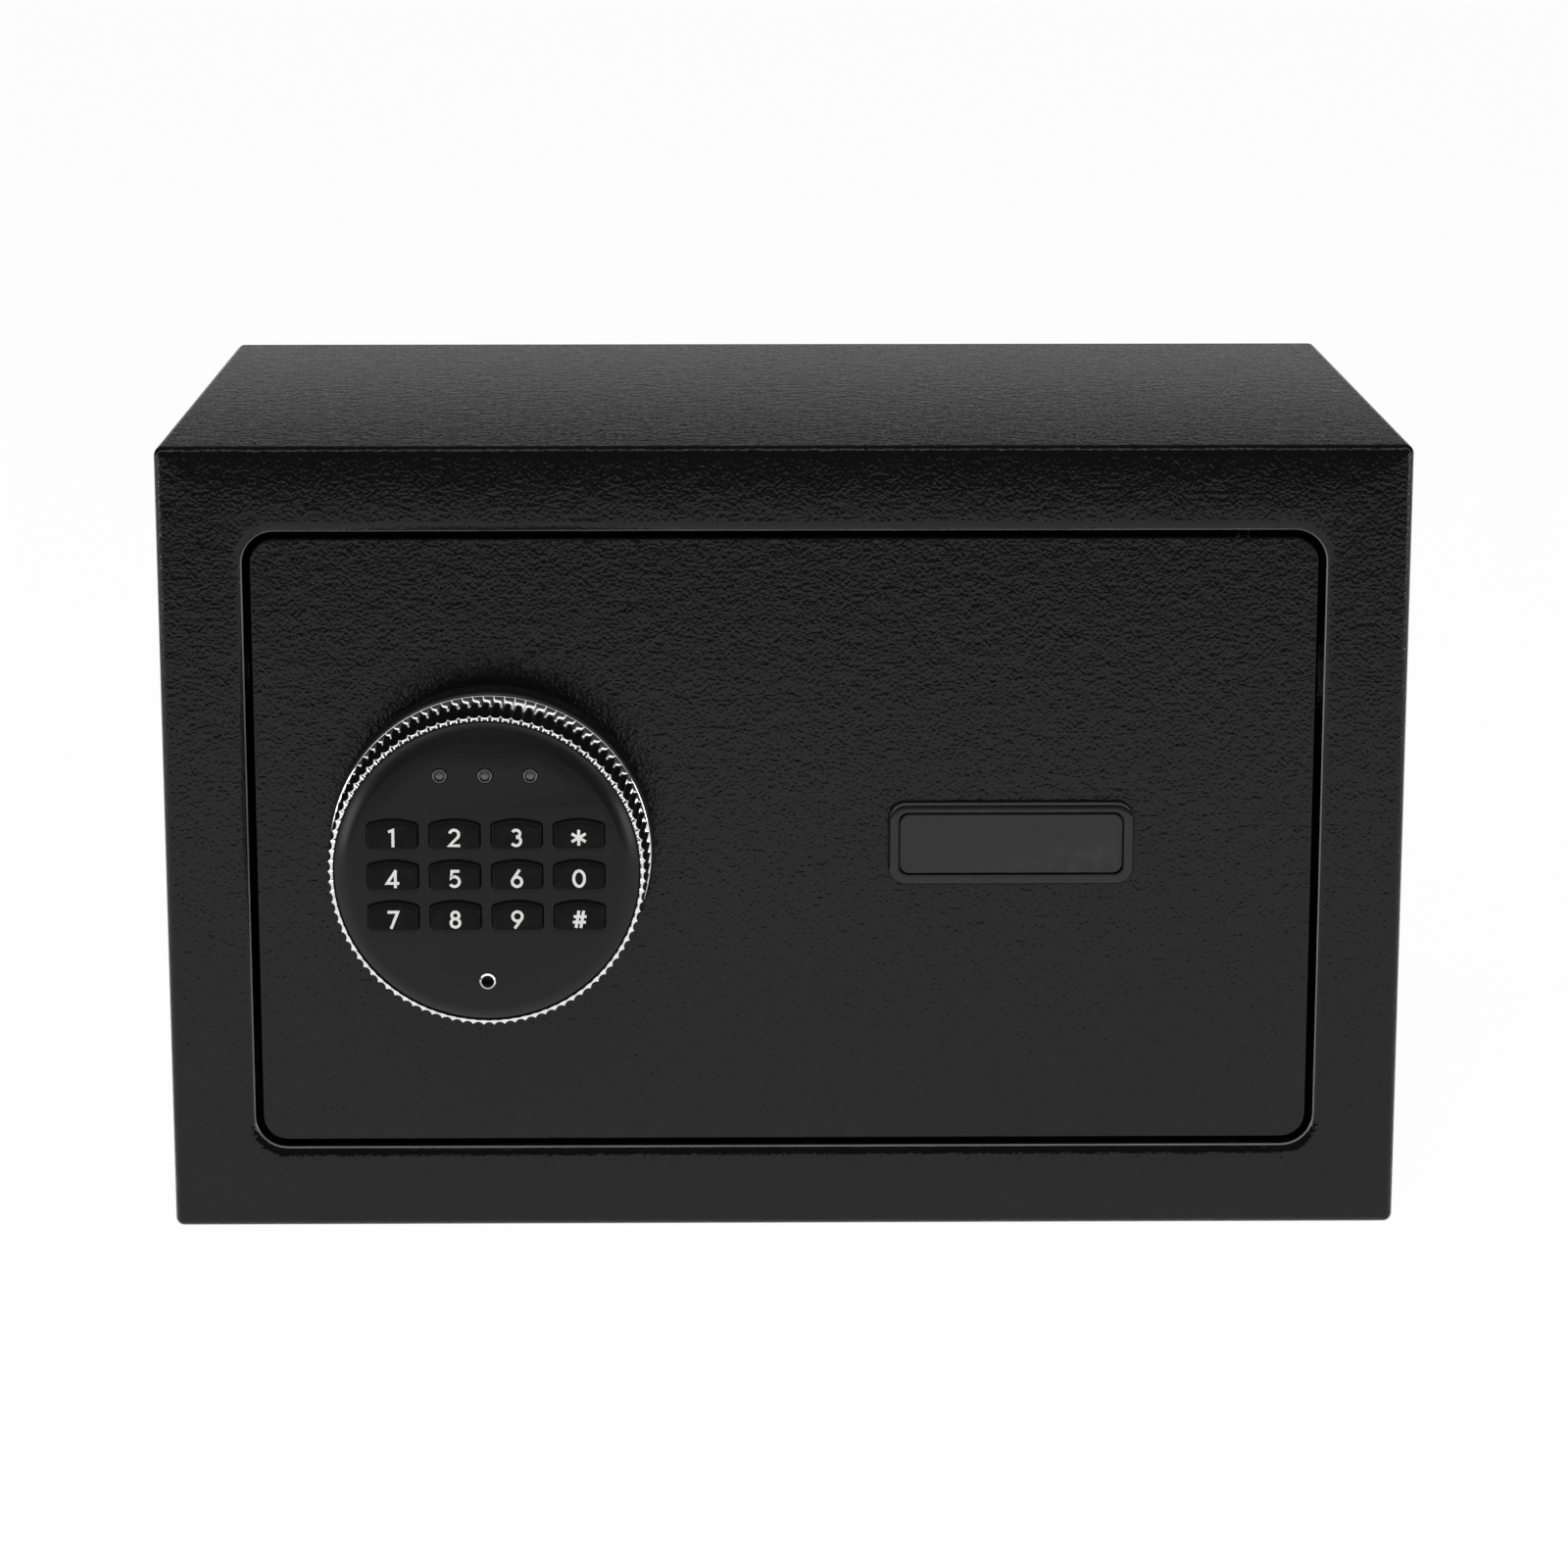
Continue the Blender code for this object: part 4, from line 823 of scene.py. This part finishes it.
def make_mat():
    """A felt mat laid on the floor of the safe, with a barely uneven surface."""
    low, high, _ = extent("floor_mat")
    points = []
    for level in (high.z, low.z):
        for row in range(MAT_ROWS + 1):
            for column in range(MAT_COLUMNS + 1):
                x = low.x + (high.x - low.x) * column / MAT_COLUMNS
                y = low.y + (high.y - low.y) * row / MAT_ROWS
                ripple = sum(math.sin(x * along + y * aside) for along, aside in MAT_RIPPLES)
                wave = MAT_WAVE * (ripple - len(MAT_RIPPLES))
                points.append((x, y, level + (wave if level == high.z else 0)))
    across = MAT_COLUMNS + 1
    sheet = across * (MAT_ROWS + 1)
    faces = []
    for row in range(MAT_ROWS):
        for column in range(MAT_COLUMNS):
            corner = row * across + column
            top = (corner, corner + 1, corner + across + 1, corner + across)
            faces.append(top)
            faces.append(tuple(sheet + index for index in (top[0], top[3], top[2], top[1])))
    ring = list(range(across))
    ring += [row * across + MAT_COLUMNS for row in range(1, MAT_ROWS + 1)]
    ring += [MAT_ROWS * across + column for column in range(MAT_COLUMNS - 1, -1, -1)]
    ring += [row * across for row in range(MAT_ROWS - 1, 0, -1)]
    for index, here in enumerate(ring):
        after = ring[(index + 1) % len(ring)]
        faces.append((here, sheet + here, sheet + after, after))
    mat = piece("felt_mat", (points, faces), "floor_mat")


def seen_rays(tree, share):
    """A share that counts for camera, mirror and glass rays, and is 0 for the rest."""
    rays = tree.nodes.new("ShaderNodeLightPath")
    total = rays.outputs["Is Camera Ray"]
    for label in ("Is Glossy Ray", "Is Transmission Ray"):
        total = combine(tree, "MAXIMUM", total, rays.outputs[label])
    return spread(tree, total, 0.0, share, 0.0, 1.0)


def make_floor():
    """A white table that keeps the shadow."""
    middle_y = FLOOR_FRONT + FLOOR_SIZE / 2
    bpy.ops.mesh.primitive_plane_add(size=FLOOR_SIZE, location=(0, middle_y, -FLOOR_DROP))
    floor = bpy.context.object
    floor.name = "studio_floor"
    material = bpy.data.materials.new("studio white")
    material.use_nodes = True
    tree = material.node_tree
    shader = tree.nodes["Principled BSDF"]
    shader.inputs["Base Color"].default_value = FLOOR_SHADE
    shader.inputs["Roughness"].default_value = FLOOR_ROUGHNESS
    glow = tree.nodes.new("ShaderNodeEmission")
    mix = tree.nodes.new("ShaderNodeMixShader")
    link(tree, seen_rays(tree, FLOOR_GLOW), mix.inputs["Fac"])
    link(tree, shader.outputs["BSDF"], mix.inputs[1])
    link(tree, glow.outputs["Emission"], mix.inputs[2])
    link(tree, mix.outputs["Shader"], tree.nodes["Material Output"].inputs["Surface"])
    floor.data.materials.append(material)


def make_room():
    """A dim room with a bright backdrop low behind the safe and a strip light overhead."""
    world = bpy.data.worlds.new("studio")
    bpy.context.scene.world = world
    world.use_nodes = True
    tree = world.node_tree
    back = tree.nodes["Background"]
    back.inputs["Color"].default_value = (1, 1, 1, 1)
    coords = tree.nodes.new("ShaderNodeTexCoord").outputs["Generated"]
    split = tree.nodes.new("ShaderNodeSeparateXYZ")
    link(tree, coords, split.inputs["Vector"])
    aside, up = split.outputs["Y"], split.outputs["Z"]
    below = spread(tree, up, 1.0, 0.0, CEILING_START, CEILING_END)
    above = spread(tree, up, 0.0, BACKDROP_GLOW, HORIZON_START, HORIZON_END)
    behind = spread(tree, aside, 0.0, 1.0, BACKDROP_START, BACKDROP_END)
    backdrop = combine(tree, "MULTIPLY", combine(tree, "MULTIPLY", below, above), behind)
    away = combine(tree, "ABSOLUTE", combine(tree, "SUBTRACT", aside, STRIP_Y), 0.0)
    strip = spread(tree, away, STRIP_GLOW, 0.0, STRIP_HALF, STRIP_FADE)
    overhead = spread(tree, up, 0.0, 1.0, STRIP_LOW, STRIP_HIGH)
    strip = combine(tree, "MULTIPLY", strip, overhead)
    lit = combine(tree, "MAXIMUM", combine(tree, "MAXIMUM", backdrop, strip), ROOM_SHADE)
    seen = tree.nodes.new("ShaderNodeLightPath").outputs["Is Camera Ray"]
    link(tree, combine(tree, "MAXIMUM", lit, seen), back.inputs["Strength"])


def make_lamps():
    """Soft lamps in front and at the sides."""
    for name, place, width, power, mirrored in LAMPS:
        data = bpy.data.lights.new(name, "AREA")
        data.size = width
        data.energy = power
        lamp = add_object(name, data)
        lamp.location = place
        lamp.rotation_euler = (LAMP_AIM - place).to_track_quat("-Z", "Y").to_euler()
        lamp.visible_glossy = mirrored


def make_camera():
    """The camera at the photograph's viewing angle."""
    data = bpy.data.cameras.new("camera")
    data.lens = CAMERA_LENS
    data.sensor_width = SENSOR_WIDTH
    camera = add_object("camera", data)
    camera.location = CAMERA_PLACE
    camera.rotation_euler = (math.pi / 2 - CAMERA_DIP, 0, -CAMERA_TURN)
    bpy.context.scene.camera = camera


bpy.context.scene.view_settings.view_transform = "Standard"
make_camera()
make_floor()
make_room()
make_lamps()
make_shell()
make_cover()
make_bezel()
make_knob()
make_screws()
make_mat()
for name in NODES:
    paint(name)
for name, width in SOFTENED.items():
    soften(name, width)
